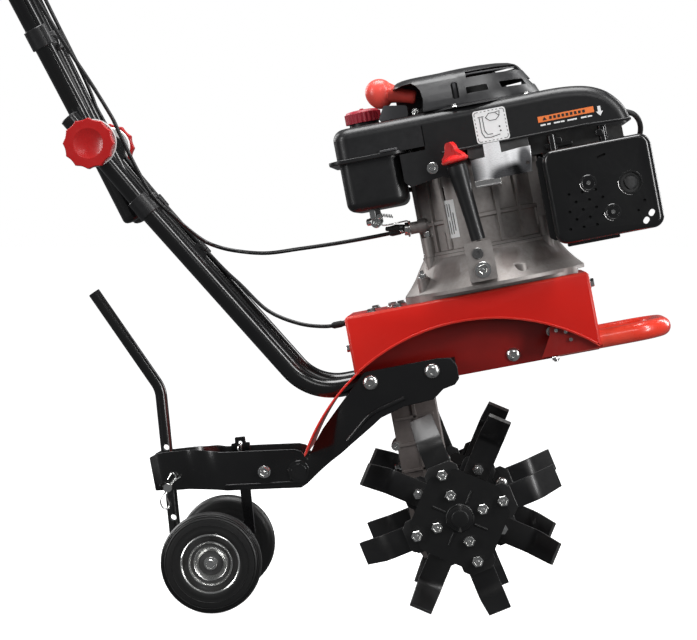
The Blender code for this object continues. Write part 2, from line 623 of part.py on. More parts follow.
def make_covers():
    """Blower housing, starter cover, tank, shields and muffler."""
    half = 104
    outline = [(20, 431), (58, 437), (64, 463), (250, 464), (312, 461), (305, 480), (289, 499), (273, 511)]
    outline += [(246, 518), (219, 521), (150, COVER_TOP), (43, COVER_TOP), (43, 472), (20, 472)]
    inner = [(46.5, 400), (240, 400), (306, 400), (300, 479), (285, 496), (270, 507)]
    inner += [(245, 514.5), (219, 517.5), (150, 515.5), (46.5, 515.5)]
    cuts = [
        prism(inner, 3.5 - half, half - 3.5),
        block((15, 46.6), (3.5 - half, half - 3.5), (400, 468.5)),
        rod((CRANK_X, 0, 505), (CRANK_X, 0, 530), 82, 24),
        rod((CRANK_X, 0, 466), (CRANK_X, 0, 512), 84, 24),
    ]
    part("blower_housing", prism(outline, -half, half), PLASTIC, DECK, cuts=cuts, bevel=(6, 1))

    base = COVER_TOP + 2.4
    shell = [(96, base), (96, base + 4), (92, 545), (85, 562), (78, 570), (60, 573), (0, 574)]
    shell += [(0, 570), (58, 569), (75, 566), (82, 559), (89, 543), (92, base)]
    dome = turned(shell, (CRANK_X + 8, 0, 0), sides=24)
    holder = prism([(-13, base), (30, base), (30, 540), (2, 540)], PULL_Y - 20, PULL_Y + 20)
    window = block((0, 50), (PULL_Y - 21, PULL_Y + 21), (534, 563))
    part("starter_cover", dome, PLASTIC, DECK, joins=[holder], cuts=[window])

    tank = prism(rounded((-68, 6), (-98, 98), 16, 4), 416, 474, "Z")
    lip = prism(rounded((-84, 18), (-108, 108), 20, 4), 473.5, 479, "Z")
    top = prism(rounded((-73, 42.6), (-half, half), 20, 4), 477, COVER_TOP, "Z")
    flywheel_room = turned([(0, 460), (84, 460), (84, 514), (0, 514)], (CRANK_X, 0, 0), sides=24)
    neck = rod((-32, 0, 512), (-32, 0, 526), 20, 20)
    part("fuel_tank", top, PLASTIC, DECK, joins=[lip, tank, neck], cuts=[flywheel_room], bevel=(6, 1))

    cap = empty("fuel_cap_frame", DECK, (-32, 0, 526 + GAP))
    ridges = [
        (r * math.cos(a), r * math.sin(a))
        for r, a in ((24.5 if i % 2 else 22.5, math.pi * i / 16) for i in range(32))
    ]
    crown = turned([(0, 11), (23, 11), (22, 15), (17, 17), (0, 17.5)], sides=24)
    part("fuel_cap", prism(ridges, 0, 13, "Z"), CAP_RED, cap, joins=[crown])

    pull = empty("starter_handle_frame", DECK, PULL_START)
    bulb = [(0, 0), (7, 0), (8, 4), (8.5, 26), (14, 31), (19, 42), (19, 54), (12, 63), (0, 66)]
    part("starter_handle", turned(bulb, (0, 0, 0), PULL_WAY, 18), PULL_RED, pull)

    low, high = (89, -121, 345), (79, -121, 445)
    way = (Vector(high) - Vector(low)).normalized()
    length = (Vector(high) - Vector(low)).length
    tube = [(0, 0), (12, 0), (12, 8), (9.7, 10), (9.7, length - 14), (13, length - 10), (13, length), (0, length)]
    part("oil_filler_tube", turned(tube, low, way, 16), PLASTIC, DECK)
    stick = empty("dipstick_frame", DECK, Vector(high) + way * 3)
    collar = [(0, 0), (14, 0), (18, 3), (18, 6), (12, 8), (0, 8)]
    grip = block((-16, 16), (-3, 3), (5, 27))
    part("dipstick", turned(collar, sides=20), KNOB_RED, stick, joins=[grip])

    sheet = [(98, 447), (117, 448), (118, 465), (139, 465), (139, 450), (163, 452), (177, 452), (173, 419), (98, 418)]
    lip = block((98, 132), (-114, -92), (411, 413))
    web = block((98, 132), (-115, -113), (411.5, 420))
    part("heat_shield", prism(sheet, -115, -113), SHIELD, DECK, joins=[web, lip])

    box = prism(rounded((206, 312), (330, 428), 20, 5), -140, -84)
    pipe = rod((250, -90, 400), (250, -54.6, 400), 12, 12)
    outlet = rod((298, -146, 383), (298, -130, 383), 13, 16)
    part("muffler", box, CAST, DECK, joins=[pipe, outlet], bevel=(5, 1))

    x, z = (187, 327.5), (318.5, 440)
    guard = prism(rounded(x, z, 12, 4), -151, -96)
    hollow = prism(rounded((x[0] + 1.8, x[1] - 1.8), (z[0] + 1.8, z[1] - 1.8), 10.5, 4), -149, -80)
    vent = rod((298, -160, 383), (298, -140, 383), 15, 20)
    cuts = [hollow, vent]
    part("muffler_guard", guard, BLACK, DECK, cuts=cuts, bevel=(3, 1))

    plug = [(0, 0), (10, 0), (10, 14), (8, 16), (8, 19), (0, 20)]
    part("spark_plug", turned(plug, (296 + GAP, 10, 388), (1, 0, 0), 12), BLACK, DECK)


def make_intake():
    """Carburettor and air filter on the side away from the muffler."""
    body = block((218, 258), (72, 108), (384, 424))
    joins = [
        rod((238, 54, 404), (238, 112, 404), 14, 16),
        rod((238, 90, 360), (238, 90, 386), 16, 16),
    ]
    part("carburettor", body, CAST, DECK, joins=joins)
    box = prism(rounded((148, 262), (342, 452), 16, 4), 112 + GAP, 160)
    part("air_filter", box, PLASTIC, DECK, bevel=(8, 1))
    pivot = empty("throttle_arm_frame", DECK, (226, 80, 424 + GAP))
    arm = prism(rounded((-6, 26), (-5, 5), 4.9, 3), 2, 4, "Z")
    part("throttle_arm", arm, STEEL, pivot, joins=[rod((0, 0, 0), (0, 0, 10), 4, 10)])


# ---------------------------------------------------------------- handlebar


def make_lower_handlebar():
    tip = (-514, 642.5)
    run = [to_ground(30, TUBE_LEVEL), (-197, 282), (-409.7, 519.3), tip]
    for side, name in ((-1, "lower_handlebar_right"), (1, "lower_handlebar_left")):
        y = side * LOWER_TUBE_Y
        start, bend, middle, end = [Vector((x, y, z)) for x, z in run]
        path = filleted([start, bend, middle], 72, 5)[:-1]
        path += filleted([path[-1], middle, end], 400, 3)[1:]
        x, z = FOLD_PIVOT
        bore = cross_rod(x, z, y - 20, y + 20, 4.6, 12)
        part(name, swept(path, TUBE_RADIUS, 12), BLACK, GROUND, cuts=[bore])


def make_upper_handlebar():
    pivot = empty("upper_handlebar_frame", GROUND, (FOLD_PIVOT[0], 0, FOLD_PIVOT[1]))

    def local(x, y, z):
        return (x - FOLD_PIVOT[0], y, z - FOLD_PIVOT[1])

    lean = math.radians(27)
    splay, splay_start = 0.145, 50

    def along_tube(distance):
        rise = distance * math.cos(lean)
        y = UPPER_TUBE_Y + splay * max(0, rise - splay_start)
        return local(FOLD_PIVOT[0] - distance * math.sin(lean), y, FOLD_PIVOT[1] + rise)

    right = [along_tube(distance) for distance in (-117, 56, 330)]
    right += [local(*GRIP_START), local(*GRIP_END)]
    path = filleted(right, 46, 4)
    brace_at = along_tube(158)
    brace = rod((brace_at[0], -brace_at[1], brace_at[2]), brace_at, 9, 12)
    joins = [swept(mirrored(path), TUBE_RADIUS, 12), brace]
    bores = [cross_rod(0, 0, side * UPPER_TUBE_Y - 20, side * UPPER_TUBE_Y + 20, 4.6, 12) for side in (-1, 1)]
    part("upper_handlebar", swept(path, TUBE_RADIUS, 12), BLACK, pivot, joins=joins, cuts=bores)

    start, end = Vector(local(*GRIP_START)), Vector(local(*GRIP_END))
    way = (end - start).normalized()
    length = (end - start).length
    open_end = TUBE_RADIUS + GAP
    sleeve = [(open_end, 36), (19, 36), (19, 40), (16, 43), (16.5, 80), (16, length), (18, length + 2)]
    sleeve += [(18, length + 6), (0, length + 7), (0, length + GAP), (open_end, length + GAP)]
    for side, name in ((-1, "grip_right"), (1, "grip_left")):
        flip = Vector((1, side, 1))
        part(name, turned(sleeve, start * flip, way * flip, 16), RUBBER, pivot)
    return pivot, start, way


def make_controls(handlebar, start, way):
    """Clutch bail under the left grip and throttle lever on the right one."""
    flip = Vector((1, -1, 1))
    clutch_at = start + way * 8 + Vector((0, 0, -22))
    clutch = empty("clutch_lever_frame", handlebar, clutch_at)
    run = [Vector((0, 0, 0)), way * 14 + Vector((0, 0, -16)), way * 100 + Vector((0, 0, -24))]
    part("clutch_lever", swept(filleted(run, 12, 3), 5, 10), BLACK, clutch)
    throttle_at = (start + way * 4) * flip + Vector((0, 0, 25))
    throttle = empty("throttle_lever_frame", handlebar, throttle_at)
    drum = rod((0, -9, 0), (0, 9, 0), 11, 16)
    thumb = prism([(-4, 0), (4, 0), (8, 36), (0, 38)], -4, 4)
    part("throttle_lever", drum, PULL_RED, throttle, joins=[thumb])


def make_knobs():
    """Scalloped clamp knobs with their threaded rods through both tubes."""
    for side, name in ((-1, "knob_right"), (1, "knob_left")):
        frame = empty(f"{name}_frame", GROUND, (FOLD_PIVOT[0], 0, FOLD_PIVOT[1]))
        outline = []
        lobes, steps = 12, 4
        for i in range(lobes * steps):
            wave = math.cos(2 * math.pi * i / steps)
            radius = KNOB_RADIUS - 2.2 + 2.2 * wave
            angle = 2 * math.pi * i / (lobes * steps)
            outline.append((radius * math.cos(angle), radius * math.sin(angle)))
        near, far = LOWER_TUBE_Y + 20, LOWER_TUBE_Y + 36
        skirt = cross_rod(0, 0, side * (LOWER_TUBE_Y + 13.2), side * (near + 2), 13, 16)
        bolt = cross_rod(0, 0, side * 31, side * (near + 2), 4, 12)
        body = prism(outline, min(side * near, side * far), max(side * near, side * far))
        dish = cross_rod(0, 0, side * (far - 3), side * (far + 10), 19, 20)
        part(name, body, KNOB_RED, frame, joins=[skirt, bolt], cuts=[dish])


# ---------------------------------------------------------------- wheels, stake, cables


def make_wheels():
    carrier = empty("wheel_carrier_frame", GROUND, (STRUT_LOW[0], 0, STRUT_LOW[1]))

    def local(x, z):
        return (x - STRUT_LOW[0], z - STRUT_LOW[1])

    lean = Vector(local(*STRUT_TOP)).normalized()
    across = Vector((lean[1], -lean[0]))
    half, length, head = 7, 124, 12.5

    def bar(u, v):
        return tuple(lean * u + across * v)

    outline = [bar(-8, half), bar(104, half), bar(104, head), bar(116, head), bar(116, half), bar(length, half)]
    outline += [bar(length, -half), bar(116, -half), bar(116, -head), bar(104, -head), bar(104, -half)]
    axle = local(*WHEEL_AXLE)
    outline += [bar(10, -half), (axle[0] - 12, axle[1] + 4), (axle[0] - 6, axle[1] - 12)]
    plate = prism(outline, -3, 3)
    sleeve = cross_rod(axle[0], axle[1], -88, 88, 10, 16)
    spindle = cross_rod(axle[0], axle[1], -134, 134, 6, 12)
    part("wheel_carrier", plate, BLACK, carrier, joins=[sleeve, spindle])

    tyre = [
        (38, 2), (40, 0), (57.5, 0), (63, 3.5), (WHEEL_RADIUS, 10), (WHEEL_RADIUS, WHEEL_WIDTH - 10),
        (63, WHEEL_WIDTH - 3.5), (57.5, WHEEL_WIDTH), (40, WHEEL_WIDTH), (38, WHEEL_WIDTH - 2),
    ]
    width = WHEEL_WIDTH
    rim = [(6 + GAP, -2), (11, -2), (11, 10), (30, 10), (33, 4), (37.6, 2.4), (37.6, width - 2.4), (33, width - 4)]
    rim += [(30, width - 14), (11, width - 14), (11, width + 1), (6 + GAP, width + 1)]
    for side, word in ((-1, "right"), (1, "left")):
        spin = empty(f"wheel_{word}_frame", GROUND, (WHEEL_AXLE[0], 0, WHEEL_AXLE[1]))
        inner_face = (0, side * (WHEEL_OUTER_FACE - WHEEL_WIDTH), 0)
        part(f"tyre_{word}", turned(tyre, inner_face, (0, side, 0), 24), RUBBER, spin)
        part(f"rim_{word}", turned(rim, inner_face, (0, side, 0), 16), STEEL, spin)


def make_stake():
    """A cranked round bar with cross holes for its height pin."""
    frame = empty("depth_stake_frame", GROUND, (STAKE_LOW[0], 0, STAKE_LOW[1]))
    way = Vector((STAKE_HOLE[0] - STAKE_LOW[0], 0, STAKE_HOLE[1] - STAKE_LOW[1])).normalized()
    foot, bend = way * -48, way * 186
    tip = bend + Vector((-89.8, 0, 129.5))
    path = filleted([foot, bend, tip], 40, 3)
    spacing = 47.4
    holes = []
    for i in range(-1, 3):
        spot = way * (12 + spacing * i)
        holes.append(cross_rod(spot.x, spot.z, -15, 15, 4.2, 8))
    part("depth_stake", swept(path, 8, 12), BLACK, frame, cuts=holes)


CLUTCH_LOWER = (
    (-156, 14, 371), (-184, 26, 366), (-222, 38, 370), (-264, 50, 387), (-301, 64, 425),
    (-326, 72, 452), (-366, 72, 496), (-406, 72, 541), (-444, 71, 584), (-462, 70, 604),
)
CLUTCH_UPPER = (
    (-500, 65, 665), (-507, 63, 684), (-521, 60, 716), (-562, 68, 796),
    (-602, 80, 876), (-622, 100, 904), (-640, 150, 927), (-655, 186, 940), (-667, 200, 943),
)
THROTTLE_LOWER = (
    (-456, -75, 640), (-443, -76, 612), (-425, -74, 575), (-405, -70, 541), (-378, -48, 512),
    (-352, 2, 486), (-334, 30, 475), (-306, 34, 468), (-263, 14, 465), (-216, -8, 471),
    (-162, -24, 479), (-112, -36, 488), (-75, -40, 496),
)
THROTTLE_UPPER = (
    (-480, -77, 680), (-491, -78, 697), (-518, -80, 738), (-556, -84, 800), (-598, -92, 872),
    (-618, -112, 916), (-636, -152, 950), (-655, -194, 990),
)


def make_cables():
    handlebar = bpy.data.objects["upper_handlebar_frame"]
    offset = Vector((FOLD_PIVOT[0], 0, FOLD_PIVOT[1]))
    radius = 2.6
    cable("clutch_cable_lower", CLUTCH_LOWER, radius, GROUND)
    cable("throttle_cable_lower", THROTTLE_LOWER, radius, GROUND)
    for name, route in (("clutch_cable_upper", CLUTCH_UPPER), ("throttle_cable_upper", THROTTLE_UPPER)):
        cable(name, [Vector(p) - offset for p in route], radius, handlebar)


make_deck()
make_fender()
make_side_frame()
make_guard_bar()
make_hitch_arms()
make_hitch_bracket()
make_gearbox()
make_tines()
make_worm()
make_bottom_end()
make_crank_train()
make_belt_drive()
make_covers()
make_intake()
make_lower_handlebar()
make_controls(*make_upper_handlebar())
make_knobs()
make_wheels()
make_stake()
make_cables()
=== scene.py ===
"""A petrol tiller: camera, light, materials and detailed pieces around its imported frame."""

import math

import bmesh
import bpy
from mathutils import Matrix, Vector


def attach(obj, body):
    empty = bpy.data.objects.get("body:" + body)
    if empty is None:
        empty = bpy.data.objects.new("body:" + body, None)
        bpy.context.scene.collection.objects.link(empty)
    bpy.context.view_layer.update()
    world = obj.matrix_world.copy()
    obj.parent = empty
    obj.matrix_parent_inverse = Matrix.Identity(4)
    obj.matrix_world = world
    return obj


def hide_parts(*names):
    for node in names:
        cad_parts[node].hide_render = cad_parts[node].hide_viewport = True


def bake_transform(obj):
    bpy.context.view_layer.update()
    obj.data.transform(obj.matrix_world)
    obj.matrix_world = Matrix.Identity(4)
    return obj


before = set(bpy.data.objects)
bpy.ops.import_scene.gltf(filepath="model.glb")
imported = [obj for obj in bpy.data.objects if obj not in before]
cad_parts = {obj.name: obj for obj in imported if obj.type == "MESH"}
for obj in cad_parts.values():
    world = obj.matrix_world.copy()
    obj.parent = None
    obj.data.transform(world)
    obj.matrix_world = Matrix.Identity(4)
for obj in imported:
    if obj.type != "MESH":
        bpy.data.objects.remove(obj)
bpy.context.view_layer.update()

# Lengths are in millimetres. GROUND starts under the tine axle, and DECK at the axle, tilted with the deck.
MM = 0.001
ORIGIN_X, AXLE_HEIGHT, FLOOR_DROP = 260.9, 128.2, 3.6
TILT = math.radians(10.8)
GROUND = Matrix.Scale(MM, 4) @ Matrix.Translation((ORIGIN_X, 0, FLOOR_DROP))
AXLE = GROUND @ Matrix.Translation((0, 0, AXLE_HEIGHT))
DECK = AXLE @ Matrix.Rotation(-TILT, 4, "Y")
TUBE = 12.5
TUBE_LEVEL = 188
DECK_TOP = 278
DECK_SIDE = 95
FRAME_SIDE = 58
FENDER_CENTRE, FENDER_RADIUS = (45, -21), 265
CRANK_X = 100
COVER_TOP = 519
COVER_SIDE = 104
DOME = (CRANK_X + 8, 0, 0)
CASE_POSTS = (150, 210, 330, 30)  # angles of the screw posts round the crankcase, in degrees
PULL_AT, PULL_WAY = (43, -34, 545), (-0.949, 0, 0.316)
LOWER_TUBE_Y, UPPER_TUBE_Y = 72, 46.5
PIVOT = (-485, 609)
GRIP_START, GRIP_END = (-668, 208, 972), (-788, 236, 984)
WHEEL_AXLE = (-324.6, 62.5)
STAKE_LOW, STAKE_HOLE = (-385.5, 0, 97.6), (-395.4, 0, 196.5)
STAR_HUBS = (-160, -75, 75, 160)  # where the tine stars stand along their axle
GUARD_FACE = -151
SIDES = (-1, 1)
SIDE_WORDS = ((-1, "right"), (1, "left"))


def deck_to_ground(x, z):
    return (
        x * math.cos(TILT) - z * math.sin(TILT),
        AXLE_HEIGHT + x * math.sin(TILT) + z * math.cos(TILT),
    )


# ---------------------------------------------------------------- materials


def node(tree, kind, **values):
    made = tree.nodes.new(kind)
    for key, value in values.items():
        if key in made.inputs:
            made.inputs[key].default_value = value
        else:
            setattr(made, key, value)
    return made


def remap(tree, low, high, to_low, to_high):
    """A map from one range of values to another."""
    made = node(tree, "ShaderNodeMapRange")
    for key, value in (("From Min", low), ("From Max", high), ("To Min", to_low), ("To Max", to_high)):
        made.inputs[key].default_value = value
    return made


def finish(
    name, slot, colour, rough, metal=0.0, second=None, blotch=14, grain=900, bump=0.08, depth=0.0003,
    spread=0.08, coat=0.0, wear=None, streaks=None, sheen=0.0,
):
    """A surface whose colour drifts between two tones, with grain in its bump and drift in its roughness."""
    made = bpy.data.materials.new(name)
    made.use_nodes = True
    made["slot"] = slot
    tree = made.node_tree
    link = tree.links.new
    shader = tree.nodes["Principled BSDF"]
    shader.inputs["Metallic"].default_value = metal
    shader.inputs["Coat Weight"].default_value = coat
    shader.inputs["Coat Roughness"].default_value = 0.12
    shader.inputs["Sheen Weight"].default_value = sheen
    where = node(tree, "ShaderNodeTexCoord").outputs["Object"]
    if streaks:
        turn = node(tree, "ShaderNodeMapping")
        turn.inputs["Scale"].default_value = streaks
        link(where, turn.inputs["Vector"])
        stretched = turn.outputs["Vector"]
    else:
        stretched = where
    drift = node(tree, "ShaderNodeTexNoise", Scale=blotch, Detail=5.0, Roughness=0.6)
    fine = node(tree, "ShaderNodeTexNoise", Scale=grain, Detail=3.0, Roughness=0.55)
    scuff = node(tree, "ShaderNodeTexNoise", Scale=blotch * 9, Detail=6.0, Roughness=0.7)
    link(where, drift.inputs["Vector"])
    link(stretched, fine.inputs["Vector"])
    link(stretched, scuff.inputs["Vector"])
    tone = node(tree, "ShaderNodeMix", data_type="RGBA")
    second = second or tuple(c * 0.82 for c in colour)
    tone.inputs[6].default_value = (*colour, 1)
    tone.inputs[7].default_value = (*second, 1)
    share = remap(tree, 0.35, 0.7, 0.0, 1.0)
    link(drift.outputs["Fac"], share.inputs["Value"])
    link(share.outputs["Result"], tone.inputs[0])
    shown = tone.outputs[2]
    if wear:
        edge = remap(tree, 0.53, 0.62, 0.0, 0.75)
        link(node(tree, "ShaderNodeNewGeometry").outputs["Pointiness"], edge.inputs["Value"])
        broken = node(tree, "ShaderNodeMath", operation="MULTIPLY")
        link(edge.outputs["Result"], broken.inputs[0])
        link(scuff.outputs["Fac"], broken.inputs[1])
        worn = node(tree, "ShaderNodeMix", data_type="RGBA")
        worn.inputs[7].default_value = (*wear, 1)
        link(broken.outputs["Value"], worn.inputs[0])
        link(shown, worn.inputs[6])
        shown = worn.outputs[2]
    link(shown, shader.inputs["Base Color"])
    level = remap(tree, 0.3, 0.7, max(0.02, rough - spread), rough + spread)
    link(scuff.outputs["Fac"], level.inputs["Value"])
    link(level.outputs["Result"], shader.inputs["Roughness"])
    relief = node(tree, "ShaderNodeBump", Strength=bump, Distance=depth)
    link(fine.outputs["Fac"], relief.inputs["Height"])
    link(relief.outputs["Normal"], shader.inputs["Normal"])
    return made


def painted_reflection_patch(made, centre, size, tone):
    """A soft patch painted in a surface's colour: a painted reflection of a dark surrounding, as bright sheet metal
    would mirror it.
    """
    tree = made.node_tree
    link = tree.links.new
    colour = tree.nodes["Principled BSDF"].inputs["Base Color"]
    place = node(tree, "ShaderNodeMapping", vector_type="TEXTURE")
    place.inputs["Location"].default_value = DECK @ Vector(centre)
    place.inputs["Rotation"].default_value = (0, -TILT, 0)
    place.inputs["Scale"].default_value = [side * MM for side in size]
    link(node(tree, "ShaderNodeTexCoord").outputs["Object"], place.inputs["Vector"])
    ball = node(tree, "ShaderNodeTexGradient", gradient_type="SPHERICAL")
    link(place.outputs["Vector"], ball.inputs["Vector"])
    share = node(tree, "ShaderNodeMapRange", interpolation_type="SMOOTHSTEP")
    share.inputs["From Max"].default_value = 0.6
    link(ball.outputs["Fac"], share.inputs["Value"])
    blend = node(tree, "ShaderNodeMix", data_type="RGBA")
    blend.inputs[7].default_value = (*tone, 1)
    link(share.outputs["Result"], blend.inputs[0])
    link(colour.links[0].from_socket, blend.inputs[6])
    link(blend.outputs[2], colour)


RED = finish("red_powder_coat", "red_paint", (0.74, 0.012, 0.005), 0.34, second=(0.7, 0.011, 0.005), coat=0.2,
             grain=700, bump=0.012, spread=0.05, wear=(0.85, 0.15, 0.1))
# a lighter, more orange copy of the red powder coat for the guard bar: painted highlight for the strong reflections
# on it
BAR_RED_LIT = finish("bar_powder_coat_lit", "red_paint", (0.95, 0.05, 0.022), 0.3, second=(0.9, 0.06, 0.03), coat=0.5,
                 grain=700, bump=0.012, spread=0.05, wear=(0.95, 0.3, 0.2))
# a darker copy of the red paint for the inner plates, which sit in the deck's shadow: painted shade
SHADED_RED = finish("dark_red_paint", "dark_red_paint", (0.3, 0.009, 0.006), 0.36, second=(0.2, 0.008, 0.006),
                  coat=0.15, grain=700, bump=0.015)
BLACK = finish("black_powder_coat", "black_paint", (0.0045, 0.0045, 0.005), 0.2, second=(0.007, 0.007, 0.007),
               coat=0.3, grain=500, bump=0.002, spread=0.02, wear=(0.03, 0.03, 0.03))
TINE_BLACK = finish("tine_black", "black_paint", (0.005, 0.005, 0.0055), 0.34, second=(0.008, 0.0078, 0.0078),
                    coat=0.05, grain=400, bump=0.008, spread=0.03, wear=(0.14, 0.135, 0.13))
HUB_BLACK = finish("hub_black", "black_paint", (0.0035, 0.0035, 0.0037), 0.4, second=(0.005, 0.005, 0.005),
                   grain=400, bump=0.004, spread=0.03)
PLASTIC = finish("black_moulding", "black_plastic", (0.0085, 0.0085, 0.0092), 0.36, second=(0.012, 0.012, 0.0125),
                 grain=1500, bump=0.03, depth=0.0002, spread=0.04, wear=(0.03, 0.03, 0.032))
GREY_PLASTIC = finish("grey_moulding", "black_plastic", (0.07, 0.07, 0.074), 0.45, grain=2400, bump=0.08,
                      depth=0.0002, spread=0.05)
CAST = finish("cast_aluminium", "cast_aluminium", (0.28, 0.245, 0.232), 0.52, 0.72, second=(0.17, 0.145, 0.137),
              blotch=22, grain=900, bump=0.16, depth=0.0004, spread=0.07, wear=(0.55, 0.53, 0.51))
MACHINED = finish("machined_aluminium", "cast_aluminium", (0.62, 0.61, 0.6), 0.3, 0.95, grain=900, bump=0.1,
                  streaks=(1, 1, 14))
ZINC = finish("zinc_plate", "zinc_steel", (0.7, 0.7, 0.69), 0.2, 0.97, second=(0.58, 0.58, 0.56), blotch=60,
              grain=700, bump=0.015, spread=0.05, wear=(0.9, 0.9, 0.89))
DARK_STEEL = finish("oiled_steel", "zinc_steel", (0.2, 0.2, 0.2), 0.38, 0.9, second=(0.13, 0.125, 0.12),
                    blotch=40, grain=900, bump=0.06)
SHIELD = finish("bright_steel", "bright_steel", (0.97, 0.97, 0.98), 0.28, 0.2, second=(0.93, 0.93, 0.94),
                blotch=30, grain=300, bump=0.015, spread=0.04, streaks=(1, 1, 12))
# painted reflections: dark soft patches in the bright shield's colour
for centre, size, tone in (
    ((86, -112, 430), (30, 60, 70), 0.09), ((152, -112, 422), (27, 60, 18), 0.004),
    ((134, -112, 416), (22, 60, 24), 0.08), ((168, -112, 436), (13, 60, 26), 0.11),
):
    painted_reflection_patch(SHIELD, centre, size, (tone, tone, tone * 1.05))
PALE_ZINC = finish("pale_zinc", "zinc_steel", (0.93, 0.93, 0.92), 0.3, 0.25, second=(0.88, 0.88, 0.87), blotch=60,
                   grain=700, bump=0.01)
RUBBER = finish("black_rubber", "black_rubber", (0.011, 0.011, 0.011), 0.62, second=(0.018, 0.018, 0.018),
                grain=1500, bump=0.15, sheen=0.03)
CABLE = finish("cable_sheath", "black_rubber", (0.007, 0.007, 0.0075), 0.34, second=(0.01, 0.01, 0.0105),
               grain=1600, bump=0.04)
TYRE = finish("tyre_rubber", "tyre_rubber", (0.006, 0.006, 0.0062), 0.44, second=(0.01, 0.0098, 0.0095),
              blotch=30, grain=1500, bump=0.12, sheen=0.03)
CAP_RED = finish("cap_plastic", "cap_red", (0.42, 0.02, 0.04), 0.4, second=(0.36, 0.016, 0.032), grain=1500,
                 bump=0.06, wear=(0.7, 0.2, 0.24))
PULL_RED = finish("pull_plastic", "pull_red", (0.93, 0.1, 0.075), 0.34, second=(0.9, 0.08, 0.06), grain=1500,
                  bump=0.05, coat=0.15, wear=(0.95, 0.25, 0.16))
KNOB_RED = finish("knob_plastic", "knob_red", (0.52, 0.01, 0.01), 0.34, second=(0.46, 0.009, 0.009), grain=1500,
                  bump=0.04, coat=0.2, wear=(0.75, 0.12, 0.1))
STICK_RED = finish("dipstick_plastic", "knob_red", (0.72, 0.012, 0.012), 0.3, second=(0.62, 0.01, 0.01),
                   grain=1500, bump=0.03, coat=0.25, wear=(0.9, 0.2, 0.15))
WHITE_LABEL = finish("label_white", "black_plastic", (0.9, 0.9, 0.9), 0.42, second=(0.86, 0.86, 0.86), bump=0.02)
ORANGE_LABEL = finish("label_orange", "black_plastic", (0.95, 0.24, 0.06), 0.42, second=(0.9, 0.22, 0.055),
                      bump=0.02)
INK = finish("label_ink", "black_plastic", (0.02, 0.02, 0.02), 0.5, bump=0.05)
BELT = finish("belt_rubber", "black_rubber", (0.018, 0.017, 0.016), 0.7, grain=1400, bump=0.5)


# ---------------------------------------------------------------- shapes, in millimetres


def loft(rings, caps=True, closed=True):
    """A skin through rings with the same number of points."""
    shape = bmesh.new()
    made = [[shape.verts.new(point) for point in ring] for ring in rings]
    count = len(made[0])
    for low, high in zip(made, made[1:]):
        for i in range(count if closed else count - 1):
            j = (i + 1) % count
            shape.faces.new((low[i], low[j], high[j], high[i]))
    if caps:
        shape.faces.new(made[0])
        shape.faces.new(made[-1])
    bmesh.ops.recalc_face_normals(shape, faces=shape.faces)
    return shape


def prism(outline, low, high, along="Y"):
    """An outline pushed along one axis. It holds (x, z) points for Y, (x, y) for Z and (y, z) for X."""
    place = {
        "X": lambda a, b, c: (c, a, b),
        "Y": lambda a, b, c: (a, c, b),
        "Z": lambda a, b, c: (a, b, c),
    }[along]
    return loft([[place(a, b, level) for a, b in outline] for level in (low, high)])


def block(x, y, z):
    return prism([(x[0], y[0]), (x[1], y[0]), (x[1], y[1]), (x[0], y[1])], z[0], z[1], "Z")


def arc(centre, radius, start, end, steps):
    """Points on an arc between two angles in degrees."""
    angles = (math.radians(start + (end - start) * i / steps) for i in range(steps + 1))
    return [(centre[0] + radius * math.cos(a), centre[1] + radius * math.sin(a)) for a in angles]


def rounded(x, y, radius, steps=8):
    """A rectangle's outline with round corners."""
    corners = ((x[1], y[1], 0), (x[0], y[1], 90), (x[0], y[0], 180), (x[1], y[0], 270))
    outline = []
    for cx, cy, start in corners:
        inwards_x = -radius if cx == x[1] else radius
        inwards_y = -radius if cy == y[1] else radius
        outline += arc((cx + inwards_x, cy + inwards_y), radius, start, start + 90, steps)
    return outline


def pillow(x, y, radius, layers, along="Z", sharp_right=None, steps=10, squash=1.0):
    """A box with round corners, built of (level, inset) layers. One side's corners can be sharper."""
    place = {"Y": lambda a, b, c: (a, c, b), "Z": lambda a, b, c: (a, b, c)}[along]
    rings = []
    for level, inset in layers:
        corners = ((1, 1, 0), (0, 1, 90), (0, 0, 180), (1, 0, 270))
        ring = []
        for i, j, start in corners:
            bend = max((sharp_right if i and sharp_right is not None else radius) - inset * 0.6, 0.6)
            spot = (x[i] + (-1 if i else 1) * (inset + bend), y[j] + (-1 if j else 1) * (inset * squash + bend))
            ring += [place(a, b, level) for a, b in arc(spot, bend, start, start + 90, steps)]
        rings.append(ring)
    return loft(rings)


def quarter(top, radius, steps=6, way=1):
    """The (level, inset) layers of a rounded edge that ends at a level."""
    turns = (math.radians(90 * i / steps) for i in range(steps + 1))
    return [(top - way * radius * (1 - math.sin(a)), radius * (1 - math.cos(a))) for a in turns]


def softened(outline, radius, steps=4):
    """A closed outline whose corners are replaced by arcs, where there is room for them."""
    made = []
    count = len(outline)
    for i in range(count):
        before, corner, after = (Vector(outline[(i + k) % count]) for k in (-1, 0, 1))
        back, ahead = before - corner, after - corner
        turn = back.angle(ahead)
        if turn > math.radians(172):
            made.append(tuple(corner))
            continue
        reach = min(radius / math.tan(turn / 2), back.length * 0.48, ahead.length * 0.48)
        size = reach * math.tan(turn / 2)
        middle = corner + (back.normalized() + ahead.normalized()).normalized() * (size / math.sin(turn / 2))
        first = corner + back.normalized() * reach - middle
        last = corner + ahead.normalized() * reach - middle
        swing = math.atan2(first.x * last.y - first.y * last.x, first.dot(last))
        for k in range(steps + 1):
            made.append(tuple(middle + Matrix.Rotation(swing * k / steps, 2) @ first))
    return made


